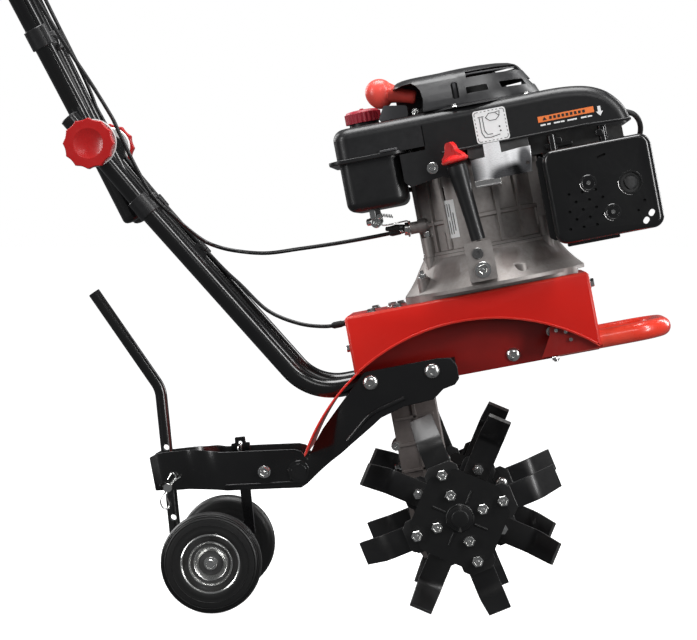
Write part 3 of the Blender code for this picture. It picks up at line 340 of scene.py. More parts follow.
def turned(profile, at=(0, 0, 0), along=(0, 0, 1), sides=32, start=0.0):
    """A profile of (radius, height) points turned about an axis. It starts and ends on the axis, or closes."""
    shape = bmesh.new()
    turn = Vector((0, 0, 1)).rotation_difference(Vector(along)).to_matrix()
    rings = []
    for radius, height in profile:
        count = 1 if radius == 0 else sides
        spots = (
            Vector((radius * math.cos(a), radius * math.sin(a), height))
            for a in (start + 2 * math.pi * i / sides for i in range(count))
        )
        rings.append([shape.verts.new(Vector(at) + turn @ spot) for spot in spots])
    closed = profile[0][0] > 0
    for low, high in list(zip(rings, rings[1:])) + ([(rings[-1], rings[0])] if closed else []):
        for i in range(sides):
            j = (i + 1) % sides
            corners = [low[i % len(low)], low[j % len(low)], high[j % len(high)], high[i % len(high)]]
            unique = list(dict.fromkeys(corners))
            if len(unique) > 2:
                shape.faces.new(unique)
    bmesh.ops.recalc_face_normals(shape, faces=shape.faces)
    return shape


def rod(start, end, radius, sides=24, edge=0.0):
    length = (Vector(end) - Vector(start)).length
    if edge:
        profile = [(0, 0), (radius - edge, 0), (radius, edge)]
        profile += [(radius, length - edge), (radius - edge, length), (0, length)]
    else:
        profile = [(0, 0), (radius, 0), (radius, length), (0, length)]
    return turned(profile, start, Vector(end) - Vector(start), sides)


def cross_rod(x, z, y_low, y_high, radius, sides=24, edge=0.0):
    """A round bar across the machine."""
    return rod((x, y_low, z), (x, y_high, z), radius, sides, edge)


def filleted(points, radius, steps=12):
    """A polyline whose inner corners are replaced by arcs."""
    points = [Vector(p) for p in points]
    path = [points[0]]
    for before, corner, after in zip(points, points[1:], points[2:]):
        back, ahead = (before - corner).normalized(), (after - corner).normalized()
        half = back.angle(ahead) / 2
        reach = radius / math.tan(half)
        middle = corner + (back + ahead).normalized() * (radius / math.sin(half))
        first = corner + back * reach - middle
        last = corner + ahead * reach - middle
        path += [middle + radius * first.slerp(last, i / steps) for i in range(steps + 1)]
    return path + [points[-1]]


def smooth_route(route, steps=6):
    """A smooth curve through its route's points."""
    route = [Vector(p) for p in route]
    ends = [2 * route[0] - route[1]] + route + [2 * route[-1] - route[-2]]
    points = []
    for a, b, c, d in zip(ends, ends[1:], ends[2:], ends[3:]):
        for t in (i / steps for i in range(steps)):
            bend = (2 * a - 5 * b + 4 * c - d) * t * t + (3 * b - a - 3 * c + d) * t**3
            points.append(b + 0.5 * ((c - a) * t + bend))
    return points + [route[-1]]


def swept(path, radius, sides=28, bore=0.0, flat=1.0):
    """A round tube along a path of 3-D points. With a bore, its ends are open."""
    path = [Vector(p) for p in path]
    ways = [(after - before).normalized() for before, after in zip(path, path[1:])]
    tangents = [ways[0]] + [(a + b).normalized() for a, b in zip(ways, ways[1:])] + [ways[-1]]
    side = tangents[0].orthogonal().normalized()
    rings = []
    for i, (point, tangent) in enumerate(zip(path, tangents)):
        if i:
            side.rotate(tangents[i - 1].rotation_difference(tangent))
        other = tangent.cross(side)
        angles = (2 * math.pi * k / sides for k in range(sides))
        rings.append([point + radius * (side * math.cos(a) + flat * other * math.sin(a)) for a in angles])
    if not bore:
        return loft(rings)
    inner = []
    for ring, point in zip(rings, path):
        inner.append([point + (spot - point) * (bore / radius) for spot in ring])
    inner.reverse()
    shape = bmesh.new()
    made = [[shape.verts.new(p) for p in ring] for ring in rings + inner]
    for low, high in list(zip(made, made[1:])) + [(made[-1], made[0])]:
        for i in range(sides):
            j = (i + 1) % sides
            shape.faces.new((low[i], low[j], high[j], high[i]))
    bmesh.ops.recalc_face_normals(shape, faces=shape.faces)
    return shape


def bolt(at, way, flats=13.0, head=5.5, washer=9.0, shank=0.0, turn=0.2):
    """A hexagon head on its washer, with a dished top."""
    radius, low = flats / math.sqrt(3), 1.6
    top = low + head
    cap = [(0, low - 0.4), (radius, low - 0.4), (radius, top - 1.1), (radius * 0.87, top), (radius * 0.72, top)]
    cap += [(radius * 0.6, top - 1.2), (radius * 0.3, top - 1.2), (radius * 0.16, top - 0.5), (0, top - 0.5)]
    shapes = [turned(cap, at, way, 6, turn)]
    if washer:
        ring = [(0, 0), (washer, 0), (washer, 1.1), (washer - 0.5, low), (0, low)]
        shapes.append(turned(ring, at, way, 28))
    if shank:
        thread = [(0, 0.5)]
        steps = int(shank / 1.2)
        for i in range(steps):
            thread += [(flats * 0.27, -1.2 * i), (flats * 0.31, -1.2 * i - 0.6)]
        shapes.append(turned(thread + [(0, -shank)], at, way, 16))
    return shapes


def dome_bolt(at, way, radius=9.0, high=4.6):
    """A round-headed coach bolt with a socket in its crown."""
    crown = [(0, 0), (radius, 0), (radius, 0.9)]
    crown += [(radius * math.cos(a), 0.9 + high * math.sin(a)) for a in (0.3, 0.6, 0.9, 1.1)]
    edge = radius * 0.42
    crown += [(edge, 0.9 + high * 0.98), (edge * 0.85, high * 0.55), (0, high * 0.5)]
    return [turned(crown, at, way, 28)]


def nut(at, way, flats=13.0, height=6.5, stud=3.0):
    radius = flats / math.sqrt(3)
    body = [(0, 0), (radius * 0.92, 0), (radius, 0.7), (radius, height - 0.7), (radius * 0.92, height), (0, height)]
    shapes = [turned(body, at, way, 6)]
    if stud:
        core = flats * 0.3
        shapes.append(turned([(0, 0), (core, 0), (core, height + stud - 0.6), (core - 0.6, height + stud),
                              (0, height + stud)], at, way, 16))
    return shapes


def plate(points, radius, low, high, along="Y", steps=3):
    """A flat plate whose corners are rounded."""
    return prism(softened(points, radius, steps), low, high, along)


def slab(x, y, radius, low, high, steps=4, along="Y"):
    """A rectangular plate with round corners."""
    return prism(rounded(x, y, radius, steps), low, high, along)


def span(side, near, far):
    """Two distances from the middle plane, as low and high on one side of the machine."""
    return sorted((side * near, side * far))


def around(radius, degrees, x=0.0):
    """The point at an angle on a circle whose centre is on the middle plane."""
    turn = math.radians(degrees)
    return (x + radius * math.cos(turn), radius * math.sin(turn))


def moved(shape, by=(0, 0, 0), degrees=0.0, axis="Z", about=(0, 0, 0)):
    """A shape turned about a point, then shifted."""
    if degrees:
        turn = Matrix.Rotation(math.radians(degrees), 3, axis)
        bmesh.ops.rotate(shape, cent=about, matrix=turn, verts=shape.verts)
    bmesh.ops.translate(shape, vec=by, verts=shape.verts)
    return shape


# ---------------------------------------------------------------- pieces


def mesh_object(name, shape, place):
    mesh = bpy.data.meshes.new(name)
    shape.to_mesh(mesh)
    shape.free()
    mesh.transform(place)
    made = bpy.data.objects.new(name, mesh)
    bpy.context.scene.collection.objects.link(made)
    return made


def merged(shapes):
    whole = bmesh.new()
    for shape in shapes:
        mesh = bpy.data.meshes.new("part")
        shape.to_mesh(mesh)
        shape.free()
        whole.from_mesh(mesh)
        bpy.data.meshes.remove(mesh)
    return whole


def bake(made):
    graph = bpy.context.evaluated_depsgraph_get()
    mesh = bpy.data.meshes.new_from_object(made.evaluated_get(graph))
    made.modifiers.clear()
    old, made.data = made.data, mesh
    bpy.data.meshes.remove(old)


def combine(made, shape, operation, place):
    tool = mesh_object("tool", shape, place)
    change = made.modifiers.new(operation, "BOOLEAN")
    change.operation = operation
    change.solver = "EXACT"
    change.use_self = operation == "DIFFERENCE"
    change.object = tool
    bake(made)
    bpy.data.meshes.remove(tool.data)


def round_edges(made, width, segments=3, angle=38, profile=0.5):
    change = made.modifiers.new("round", "BEVEL")
    change.width = width * MM
    change.segments = segments
    change.limit_method = "ANGLE"
    change.angle_limit = math.radians(angle)
    change.profile = profile
    change.miter_outer = "MITER_ARC"


def piece(
    name, shapes, surface, body="chassis", place=DECK, stands_for=(), joins=(), cuts=(), soften=0.0, segments=3,
    sharp=38, subdivide=0,
):
    """One visible piece: its shapes together, then shapes joined to it and cut from it, its edges rounded."""
    shapes = list(shapes) if isinstance(shapes, (list, tuple)) else [shapes]
    made = mesh_object(name, merged(shapes) if len(shapes) > 1 else shapes[0], place)
    for shape in joins:
        combine(made, shape, "UNION", place)
    for shape in cuts:
        combine(made, merged(shape) if isinstance(shape, list) else shape, "DIFFERENCE", place)
    if soften:
        round_edges(made, soften, segments, sharp)
    if subdivide:
        change = made.modifiers.new("smooth", "SUBSURF")
        change.levels = change.render_levels = subdivide
    bake(made)
    made.data.materials.clear()
    made.data.materials.append(surface)
    made.data.shade_smooth()
    made.data.set_sharp_from_angle(angle=math.radians(sharp))
    made.modifiers.new("normals", "WEIGHTED_NORMAL").keep_sharp = True
    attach(made, body)
    if stands_for:
        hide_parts(*([stands_for] if isinstance(stands_for, str) else stands_for))
    return made


def dress(name, surface, soften=0.0, segments=2, sharp=38):
    """A CAD node that keeps its own shape and gets a finish and rounded edges."""
    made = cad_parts[name]
    mesh = made.data
    mesh.materials.clear()
    mesh.materials.append(surface)
    if "custom_normal" in mesh.attributes:
        mesh.attributes.remove(mesh.attributes["custom_normal"])
    mesh.shade_smooth()
    weld = made.modifiers.new("weld", "WELD")
    weld.merge_threshold = 0.000005
    if soften:
        round_edges(made, soften, segments, sharp)
    split = made.modifiers.new("split", "EDGE_SPLIT")
    split.split_angle = math.radians(sharp)
    return made


# ---------------------------------------------------------------- deck, frame and hitch


def make_deck():
    for name in ("deck_cover", "fender"):
        dress(name, RED, 0.5 if name == "deck_cover" else 0.0)
    # the inner side frame takes the darker red of painted shade
    dress("side_frame", SHADED_RED, 0.5)
    # the folded lip along each arched edge of the cover
    for side, word in SIDE_WORDS:
        y = side * (DECK_SIDE - 0.6)
        rim = [(x, y, z) for x, z in arc(FENDER_CENTRE, FENDER_RADIUS + 1.7, 50.2, 122.5, 48)]
        low = [(x, y, z) for x, z in arc(FENDER_CENTRE, FENDER_RADIUS + 0.7, 122.5, 150.3, 20)]
        piece(f"arch_lip_{word}", swept(rim + low, 1.5, 10), RED)
    bars = filleted([(163, -LOWER_TUBE_Y, TUBE_LEVEL), (304.5, -LOWER_TUBE_Y, TUBE_LEVEL),
                     (304.5, LOWER_TUBE_Y, TUBE_LEVEL), (163, LOWER_TUBE_Y, TUBE_LEVEL)], 42, 14)
    piece("guard_tube", swept(bars, TUBE, 32, bore=10.6), BAR_RED_LIT, stands_for="guard_bar")
    spacers, heads, dull, inside = [], [], [], []
    for side in SIDES:
        for x in (172, 204):
            spacers.append(rod((x, side * 58.2, TUBE_LEVEL), (x, side * 59.6, TUBE_LEVEL), 11, 24))
        # screws on the cover's top and ends
        for x in (-66, -31):
            dull += bolt((x, side * 76, DECK_TOP), (0, 0, 1), 9, 3.0, 6.5)
        heads += bolt((221, side * 62, 262), (1, 0, 0), 10, 4.5, 7.5)
        heads += bolt((-102, side * 66, 236), (-1, 0, 0), 8, 4, 6)
        # through bolts of the frame
        heads += dome_bolt((106, side * FRAME_SIDE, TUBE_LEVEL), (0, side, 0), 9.2, 4.2)
        for x in (-84, -2):
            heads += dome_bolt((x, side * 89, TUBE_LEVEL), (0, side, 0), 10, 4.6)
        heads += bolt((160, side * FRAME_SIDE, 209), (0, side, 0), 9, 4, 6.5)
        heads += nut((160, side * 64, 176), (0, 0, -1), 10, 5, 2)
        # a panel inside each side, in the darker red of painted shade
        panel = [(141.5, 178), (222, 178), (222, 181), (181, 209), (160, 221), (157, 205)]
        inside.append(prism(panel, *span(side, 84.4, 86)))
        for x, z in ((166, 210), (178, 206), (183, 195)):
            heads += bolt((x, side * 86, z), (0, side, 0), 5, 2.2, 0)
        heads += nut((22, side * 80, 174), (0, 0, -1), 10, 5, 2)
    piece("frame_bolts", heads, ZINC, sharp=30)
    piece("cover_screws_rear", dull, DARK_STEEL, sharp=30)
    piece("frame_gussets", inside, SHADED_RED)
    piece("guard_spacers", spacers, DARK_STEEL)


def make_hitch():
    for side, word in SIDE_WORDS:
        dress(f"hitch_arm_{word}", BLACK, 0.9, 3)
        # a raised rib pressed along the arm, and the fold along its lower edge
        y = side * 89.4
        rib = filleted([(-44, y, 160), (-92, y, 148), (-128, side * 87, 118)], 60, 8)
        piece(f"arm_rib_{word}", swept(rib, 3.0, 14), BLACK)
        low = filleted([(-196, side * 51.8, 74), (-240, side * 51.9, 79), (-300, side * 50.9, 87)], 200, 6)
        piece(f"arm_fold_{word}", swept(low, 1.7, 10), BLACK)
    dress("hitch_bracket", BLACK, 0.8)
    boss, heads = [], []
    for side in SIDES:
        boss.append(cross_rod(-214, 177, *span(side, 48, 54.5), 15, 32, 1.2))
        boss.append(cross_rod(-214, 177, *span(side, 54, 55.6), 10.5, 28, 0.6))
        heads += bolt((-260, side * 52, 176), (0, side, 0), 13, 5.6, 8.4, turn=0.4)
    piece("hitch_bosses", boss, BLACK, "chassis", GROUND)
    piece("hitch_bolts", heads, ZINC, "chassis", GROUND, sharp=30)
    # the height pin of the stake and its spring clip
    pin = [cross_rod(-391.0, 152.2, -32, 32, 3.9, 20, 0.8)]
    pin.append(cross_rod(-391.0, 152.2, -33.5, -31, 6, 20, 0.6))
    piece("stake_pin", pin, ZINC, "chassis", GROUND)
    clip = [(-391, -26.5, 163), (-385, -27, 172), (-380, -27, 166), (-386, -27, 158), (-395, -27, 146),
            (-401, -27, 136), (-398, -27, 126), (-391, -27, 124), (-389, -27, 131), (-393, -27, 143),
            (-385, -27, 158), (-374, -27, 167)]
    piece("stake_clip", swept(smooth_route([(x, y - 3.5, z) for x, y, z in clip], 5), 1.0, 8), ZINC, "chassis",
          GROUND)


def make_stake_and_wheels():
    low, hole = Vector(STAKE_LOW), Vector(STAKE_HOLE)
    way = (hole - low).normalized()
    foot, bend = low - way * 48, low + way * 186
    tip = bend + Vector((-89.8, 0, 129.5))
    holes = []
    for i in range(-1, 3):
        spot = low + way * (12 + 47.4 * i)
        holes.append(cross_rod(spot.x, spot.z, -15, 15, 4.2, 20))
    piece("stake_bar", swept(filleted([foot, bend, tip], 40, 12), 8, 28), BLACK, "depth_stake", GROUND,
          stands_for="depth_stake", cuts=holes, sharp=40)
    top, base = Vector((-297.3, 0, 219)), Vector((-284, 0, 95))
    lean = (top - base).normalized()
    across = Vector((lean.z, 0, -lean.x))
    hub_x, hub_z = WHEEL_AXLE
    axle = Vector((hub_x, 0, hub_z)) - base

    def bar(u, v):
        spot = base + lean * u + across * v
        return (spot.x, spot.z)

    outline = [bar(-8, 7), bar(104, 7), bar(104, 12.5), bar(116, 12.5), bar(116, 7), bar(124, 7), bar(124, -7)]
    outline += [bar(116, -7), bar(116, -12.5), bar(104, -12.5), bar(104, -7), bar(10, -7)]
    spot = base + axle
    outline += [(spot.x - 12, spot.z + 4), (spot.x - 6, spot.z - 12)]
    head_hole = base + lean * 116
    piece("wheel_strut", prism(softened(outline, 1.6, 3), -3, 3), BLACK, "wheel_carrier", GROUND,
          cuts=[cross_rod(head_hole.x, head_hole.z, -9, 9, 2.6, 16)], soften=0.6,
          stands_for="wheel_carrier")
    sleeve = [cross_rod(*WHEEL_AXLE, -88, 88, 10, 32, 0.8)]
    piece("axle_sleeve", sleeve, BLACK, "wheel_carrier", GROUND)
    ends = [cross_rod(*WHEEL_AXLE, -126, 126, 5.8, 28, 0.8)]
    ends += [cross_rod(*WHEEL_AXLE, *span(side, 120, 121.6), 8.4, 28, 0.3) for side in SIDES]
    clip = [(0, -8, -1), (2, -8.5, -6), (1, -8, -13), (-3, -7.5, -7), (0, 3, -1)]
    ends.append(swept(smooth_route([(head_hole.x + x, y, head_hole.z + z) for x, y, z in clip], 5), 0.9, 8))
    piece("axle_ends", ends, ZINC, "wheel_carrier", GROUND)
    for side, word in SIDE_WORDS:
        inner = (hub_x, side * 94, hub_z)
        way = (0, side, 0)
        tyre = [(37.8, 1.5), (39.5, 0.2), (44, -0.3), (46, 0.5), (48, 0.2), (52, 0.2), (54, 1.0), (56.5, 0.8),
                (60.5, 2.2), (63.6, 5.4), (65.4, 8.5)]
        crown = [(66.1, 11), (65.0, 11.6), (65.0, 13.2), (66.1, 13.8)]
        crown += [(66.1, 18.2), (65.0, 18.8), (65.0, 20.4), (66.1, 21)]
        profile = tyre + crown + [(radius, 32 - height) for radius, height in reversed(tyre)]
        piece(f"tyre_skin_{word}", turned(profile, inner, way, 96), TYRE, f"wheel_{word}", GROUND,
              stands_for=f"tyre_{word}", sharp=50)
        face = [(6.3, 26), (8.6, 26), (9.2, 25), (9.6, 21.6), (15.4, 21.2), (21.2, 26.6), (22, 26.8), (22.6, 26.2),
                (23, 25.2), (25.2, 25.4), (28, 28.4), (29, 28.6), (29.6, 27), (30.2, 19),
                (31.2, 17.8), (34.4, 18), (35.2, 20), (35.8, 29), (36.6, 31.2), (37.8, 31.9), (38.9, 31.4),
                (39.4, 30.4), (38.6, 29.8), (37.5, 29.4)]
        back = [(37.5, 2.6), (38.6, 2.2), (38.0, 0.4), (36, 0.2), (34.4, 3), (33, 10), (30, 12), (11, 12),
                (11, -1.6), (6.3, -1.6)]
        piece(f"rim_skin_{word}", turned(face + back, inner, way, 96), ZINC, f"wheel_{word}", GROUND,
              stands_for=f"rim_{word}", sharp=32)
        # dark rings on the floors of the rim's two grooves and of the dip round the hub: painted shade in the
        # recesses
        rings = [turned([(30.2, 19.4), (35.2, 19.4), (35.2, 20.2), (30.2, 20.2)], inner, way, 64),
                 turned([(22.9, 25.6), (25.3, 25.8), (25.3, 26.3), (22.9, 26.1)], inner, way, 64),
                 turned([(9.6, 21.4), (15.4, 21.2), (15.4, 21.8), (9.6, 22)], inner, way, 48)]
        piece(f"rim_shade_rings_{word}", rings, DARK_STEEL, f"wheel_{word}", GROUND)
        lines = []
        for radius, face in ((58.2, 30.9), (61.4, 29.2), (63.4, 26.9), (50.0, 31.6)):
            ridge = [(radius, face), (radius + 0.5, face + 0.7), (radius + 1.0, face - 0.5)]
            lines.append(turned(ridge, inner, way, 96))
        piece(f"tyre_rings_{word}", lines, TYRE, f"wheel_{word}", GROUND)


# ---------------------------------------------------------------- gearbox and tines


def make_gearbox():
    for side, word in SIDE_WORDS:
        dress(f"gearbox_case_{word}", CAST, 1.6, 3)
    ribs, heads = [], []
    for side in SIDES:
        low, high = span(side, 29.5, 33)
        for z in (60, 95, 130):
            ribs.append(slab((-66, -12), (z - 2, z + 2), 1.9, low, high, 3))
        ribs.append(slab((-40, -35), (20, 168), 2.4, low, high, 3))
        for angle in range(0, 360, 60):
            px, pz = around(39, angle + 15)
            heads += bolt((px, side * 30, pz), (0, side, 0), 8, 4, 6)
        for z in (96, -42):
            heads += bolt((-69, side * 30, z), (0, side, 0), 8, 4, 6, turn=0.1)
        collar = [(24, 0), (27.5, 0), (27.5, 4), (26, 5.5), (24, 5.5)]
        ribs.append(turned(collar, (0, side * 30, 0), (0, side, 0), 40))
    piece("gearbox_ribs", ribs, CAST, soften=0.6)
    piece("gearbox_bolts", heads, ZINC, sharp=30)
    grease = [(0, 0), (5, 0), (5, 4), (3, 4.5), (3, 7), (3.6, 8), (3, 9.4), (0, 9.6)]
    piece("gear_oil_plug", [turned(grease, (-68, 0, 66), (-1, 0, 0), 6)], ZINC)
    for name in ("worm_wheel", "worm_shaft", "idler_arm"):
        dress(name, DARK_STEEL, 0.2)
    dress("driven_pulley", MACHINED, 0.4)
    dress("engine_pulley", MACHINED, 0.4)
    dress("drive_belt", BELT, 0.4)


def make_tines():
    dress("tine_axle", TINE_BLACK, 0.5)
    hexes, domes, pins = [], [], []
    for i, y in enumerate(STAR_HUBS):
        bend = 1 if i % 2 == 0 else -1
        first = 22.5 if i % 2 == 0 else 67.5
        dress(f"tine_star_{i + 1}", TINE_BLACK, 0.7, 2)
        out = -bend  # the side of the plate away from its blades
        for quarter in range(4):
            for reach, depth in ((31.6, 2.5), (59.5, 6.6)):
                x, z = around(reach, first + 90 * quarter)
                face = (x, y + out * 3.4, z)
                if abs(y) > 100:
                    hexes += bolt(face, (0, out, 0), 13, 5.4, 0)
                else:
                    domes += dome_bolt(face, (0, out, 0), 8.2, 3.6)
                hexes += nut((x, y + bend * depth, z), (0, bend, 0), 12.5, 6.5, 3)
        # pressed ridges on the hub, the collar round the axle, and the hub plate
        ridges = []
        for quarter in range(4):
            ends = [around(reach, first + 45 + 90 * quarter) for reach in (20, 38)]
            ridges.append(swept([(x, y + out * 3.0, z) for x, z in ends], 1.9, 12))
        ridges.append(turned([(16.3, 0), (18.6, 0), (17.8, 0.8), (17, 1.2), (16.3, 1.2)],
                             (0, y + out * 3.3, 0), (0, out, 0), 40))
        outline = []
        for quarter in range(4):
            angle = math.radians(first + 90 * quarter)
            for u, v in ((62, -18), (62, 18)):
                outline.append((u * math.cos(angle) - v * math.sin(angle), u * math.sin(angle) + v * math.cos(angle)))
        ridges.append(plate(outline, 5, *sorted((y + out * 2.4, y + out * 3.4)), steps=4))
        piece(f"hub_ridges_{i + 1}", ridges, HUB_BLACK, "tine_shaft", AXLE)
    piece("tine_hex_bolts", hexes, ZINC, "tine_shaft", AXLE, sharp=30)
    piece("tine_coach_bolts", domes, ZINC, "tine_shaft", AXLE, sharp=30)
    ends = []
    for side in SIDES:
        disc = [(0, 0), (10.8, 0), (10.8, 0.8), (10, 1.4), (0, 1.4)]
        ends.append(turned(disc, (0, side * 171.6, 0), (0, side, 0), 28))
        pins.append(rod((0, side * 166, -17.5), (0, side * 166, 17.5), 2.6, 20, 0.6))
    piece("axle_end_rings", ends, HUB_BLACK, "tine_shaft", AXLE)
    piece("axle_cross_pins", pins, TINE_BLACK, "tine_shaft", AXLE)


# ---------------------------------------------------------------- engine


SUMP_SCREWS = ((8, -62, 309), (0, 60, 300), (168, -66, 306), (192, 60, 300))


def make_castings():
    x = CRANK_X
    flange = slab((-20, 210), (-86, 86), 40, DECK_TOP + 0.3, 287, 10, "Z")
    bowl = [(0, 283), (121, 283), (121, 287.6), (112, 297), (104, 307), (97, 318), (91, 327), (88.5, 330),
            (88.5, 333.7), (0, 333.7)]
    joins = [turned(bowl, (x, 0, 0), sides=72)]
    joins.append(plate([(69, 292), (105, 292), (105, 343), (69, 343)], 3, -134, -84))
    for angle in CASE_POSTS:
        px, py = around(89, angle, x)
        joins.append(rod((px, py, 285), (px, py, 333.7), 8.4, 28))
    for angle in (170, 190, 350, 10, 100, 250, 300, 60):
        joins.append(moved(block((84, 97), (-2, 2), (288, 318)), (x, 0, 0), angle))
    for px, py, pz in SUMP_SCREWS:
        joins.append(rod((px, py, 284), (px, py, pz), 8, 28))
    joins += [rod((137, side * 99, 284), (137, side * 99, 305), 9, 28, 1.0) for side in SIDES]
    cuts = [turned([(0, 270), (77, 270), (77, 340), (0, 340)], (x, 0, 0), sides=48)]
    piece("sump_casting", flange, CAST, joins=joins, cuts=cuts, soften=1.1, segments=3,
          stands_for="sump_cover", sharp=34)
    base = []
    for px, py, pz in SUMP_SCREWS:
        base += bolt((px, py, pz), (0, 0, 1), 9, 4, 6.6)
        base.append(rod((px, py, pz), (px, py, pz + 10), 2.6, 12, 0.5))
    for angle in CASE_POSTS:
        base += bolt((*around(88, angle, x), 360.3), (0, 0, 1), 8, 6, 0)
    base += bolt((88, -134.4, 306), (0, -1, 0), 13, 5, 10.5)
    piece("engine_bolts", base, ZINC, sharp=30)
    plug = [(0, 0), (7.5, 0), (7.5, 1.2), (6.6, 2), (2.6, 2), (2.2, 1), (0, 1)]
    piece("oil_gallery_plug", [turned(plug, (85, -134, 328), (0, -1, 0), 28)], DARK_STEEL)

    pot = [(0, 334), (87, 334), (87, 337.6), (85, 339), (85, 440), (84, 446), (78, 455), (70, 461), (66, 462),
           (0, 462)]
    joins = [plate([(140, -50), (185, -50), (185, 50), (140, 50)], 4, 350, 450, "Z")]
    joins.append(rod((40, -40, 376), (3, -40, 376), 8, 28))
    joins.append(rod((24, -40, 376), (14, -40, 376), 10, 28))
    for angle in CASE_POSTS:
        joins.append(turned([(0, 334), (8, 334), (8, 360), (0, 360)], (*around(88, angle, x), 0), sides=28))
    for angle, width in (
        (196, 5), (222, 3), (236, 4), (262, 3), (284, 5), (304, 4), (164, 5), (136, 3), (100, 4), (76, 3),
    ):
        joins.append(moved(block((80, 89), (-width / 2, width / 2), (339, 440)), (x, 0, 0), angle))
    joins.append(turned([(84, 372), (88, 374), (88, 378), (84, 380), (80, 376)], (x, 0, 0), sides=72))
    room = [(0, 320), (78, 320), (78, 436), (64, 454), (0, 454)]
    cuts = [turned(room, (x, 0, 0), sides=48), rod((x, 0, 400), (200, 0, 400), 30, 32)]
    piece("crankcase_casting", turned(pot, (x, 0, 0), sides=72), CAST, joins=joins, cuts=cuts, soften=1.0,
          stands_for="crankcase", sharp=34)
    gasket = [(77.5, 333.6), (87.6, 333.6), (87.6, 334.2), (77.5, 334.2)]
    piece("sump_gasket", turned(gasket, (x, 0, 0), sides=72), RUBBER)

    fins = [(185.3, 40)]
    for i in range(8):
        at = 192 + 9 * i
        fins += [(at - 1.6, 40), (at - 0.3, 52.8), (at + 0.6, 54), (at + 2.4, 54), (at + 3.3, 52.8), (at + 4.6, 40)]
    fins += [(262, 40), (263, 50.5), (264.5, 52), (294.5, 52), (296, 50.5)]
    rings = []
    for at, half in fins:
        corner = min(8, half * 0.2)
        rings.append([(at, a, 400 + b) for a, b in rounded((-half, half), (-half, half), corner, 3)])
    bore = rod((180, 0, 400), (258, 0, 400), 27.5, 32)
    piece("cylinder_casting", loft(rings), CAST, cuts=[bore], stands_for="cylinder_block", sharp=34)
    heads = []
    for a, b in ((-38, -38), (38, -38), (-38, 38), (38, 38), (0, -42), (0, 42)):
        heads += bolt((296, a, 400 + b), (1, 0, 0), 10, 5, 8)
    piece("head_bolts", heads, ZINC, sharp=30)
    lead = [(309.6, 10, 398), (309.8, 8, 408), (312, -4, 420), (321, -30, 436), (324, -60, 452), (318, -80, 466),
            (304, -84, 474)]
    piece("plug_lead", swept(smooth_route(lead, 8), 3.6, 16), RUBBER)
    # the plug's rubber boot, with an elbow towards the lead
    boot = [(0, 0), (9.5, 0), (10, 2), (10, 10), (9, 14), (8.6, 17), (6.6, 19.4), (0, 19.6)]
    elbow = turned([(0, -3), (6, -3), (6.6, 0), (6.6, 11), (5, 13.4), (0, 13.6)], (309.6, 10, 388), (0, 0, 1), 28)
    piece("plug_boot", turned(boot, (296.3, 10, 388), (1, 0, 0), 28), RUBBER, joins=[elbow], soften=0.8,
          stands_for="spark_plug")
    for name in ("crankshaft", "connecting_rod"):
        dress(name, DARK_STEEL, 0.3)
    dress("flywheel", CAST, 0.5)
    dress("piston", MACHINED, 0.3)


def make_housing():
    side = COVER_SIDE
    # the cover is skinned through outlines across the machine, whose crest sinks towards each side
    crest = ((312, 461), (306, 479.5), (297, 493), (284.5, 504.5), (267, 513), (246, 517.6), (219, 519.6),
             (180, 519.4), (150, COVER_TOP))
    crest = smooth_route([(x, 0, z) for x, z in crest], 4)
    outline = [((x, z), (0, 0)) for x, z in ((16, 428), (58, 434), (68, 430), (72, 462), (250, 464))]
    for before, spot, after in zip([crest[0]] + crest, crest, crest[1:] + [crest[-1]]):
        way = (after - before).normalized()
        outline.append(((spot.x, spot.z), (-way.z, way.x)))
    outline += [((43.4, COVER_TOP), (0, -1)), ((43, COVER_TOP - 0.6), (0, -1))]
    outline += [((43, 472), (0, 0)), ((9, 472), (0, 0)), ((9, 436), (0, 0))]
    rings = []
    shoulder = quarter(side, 15, 7)
    for way, layers in ((-1, shoulder[::-1]), (1, shoulder)):
        for level, inset in layers:
            rings.append([(x + inset * dx, way * level, z + inset * dz) for (x, z), (dx, dz) in outline])
    cover = loft(rings)
    inner = [(46.5, 400), (240, 400), (306, 400), (300, 479), (285, 496), (270, 507)]
    inner += [(245, 512), (219, 514.5), (150, 514.5), (46.5, 514.5)]
    cuts = [
        prism(inner, 15 - side, side - 15),
        prism([(46.5, 400), (240, 400), (298, 400), (290, 478), (272, 492), (245, 500), (60, 500), (46.5, 490)],
              5 - side, side - 5),
        block((0, 46.6), (3.5 - side, side - 3.5), (400, 468.5)),
        rod((CRANK_X, 0, 500), (CRANK_X, 0, 530), 82, 64),
        rod((CRANK_X, 0, 466), (CRANK_X, 0, 512), 84, 64),
    ]
    piece("blower_cover", cover, PLASTIC, cuts=cuts, soften=1.2, segments=3, stands_for="blower_housing",
          sharp=30)
    # a folded rim along the lower edge and a shallow step round the dome
    trims = []
    for way in SIDES:
        y = way * (side + 0.2)
        trims.append(swept([(64, y, 464.2), (250, y, 465.2), (311, y, 462.4)], 1.5, 10))
    step = [(97, -0.6), (103, -0.6), (102, 1.4), (99, 2.2), (97, 2.2)]
    trims.append(turned([(radius, COVER_TOP + rise) for radius, rise in step], DOME, sides=72))
    piece("cover_trims", trims, PLASTIC)
    # sheet walls over the cylinder, under the cover
    shroud = [block((176, 300), (way * 66 - 1, way * 66 + 1), (440, 478)) for way in SIDES]
    shroud.append(plate([(96, 449), (176, 444), (176, 478), (96, 478)], 3, -100, -98))
    piece("cylinder_shroud", shroud, DARK_STEEL, soften=0.4)


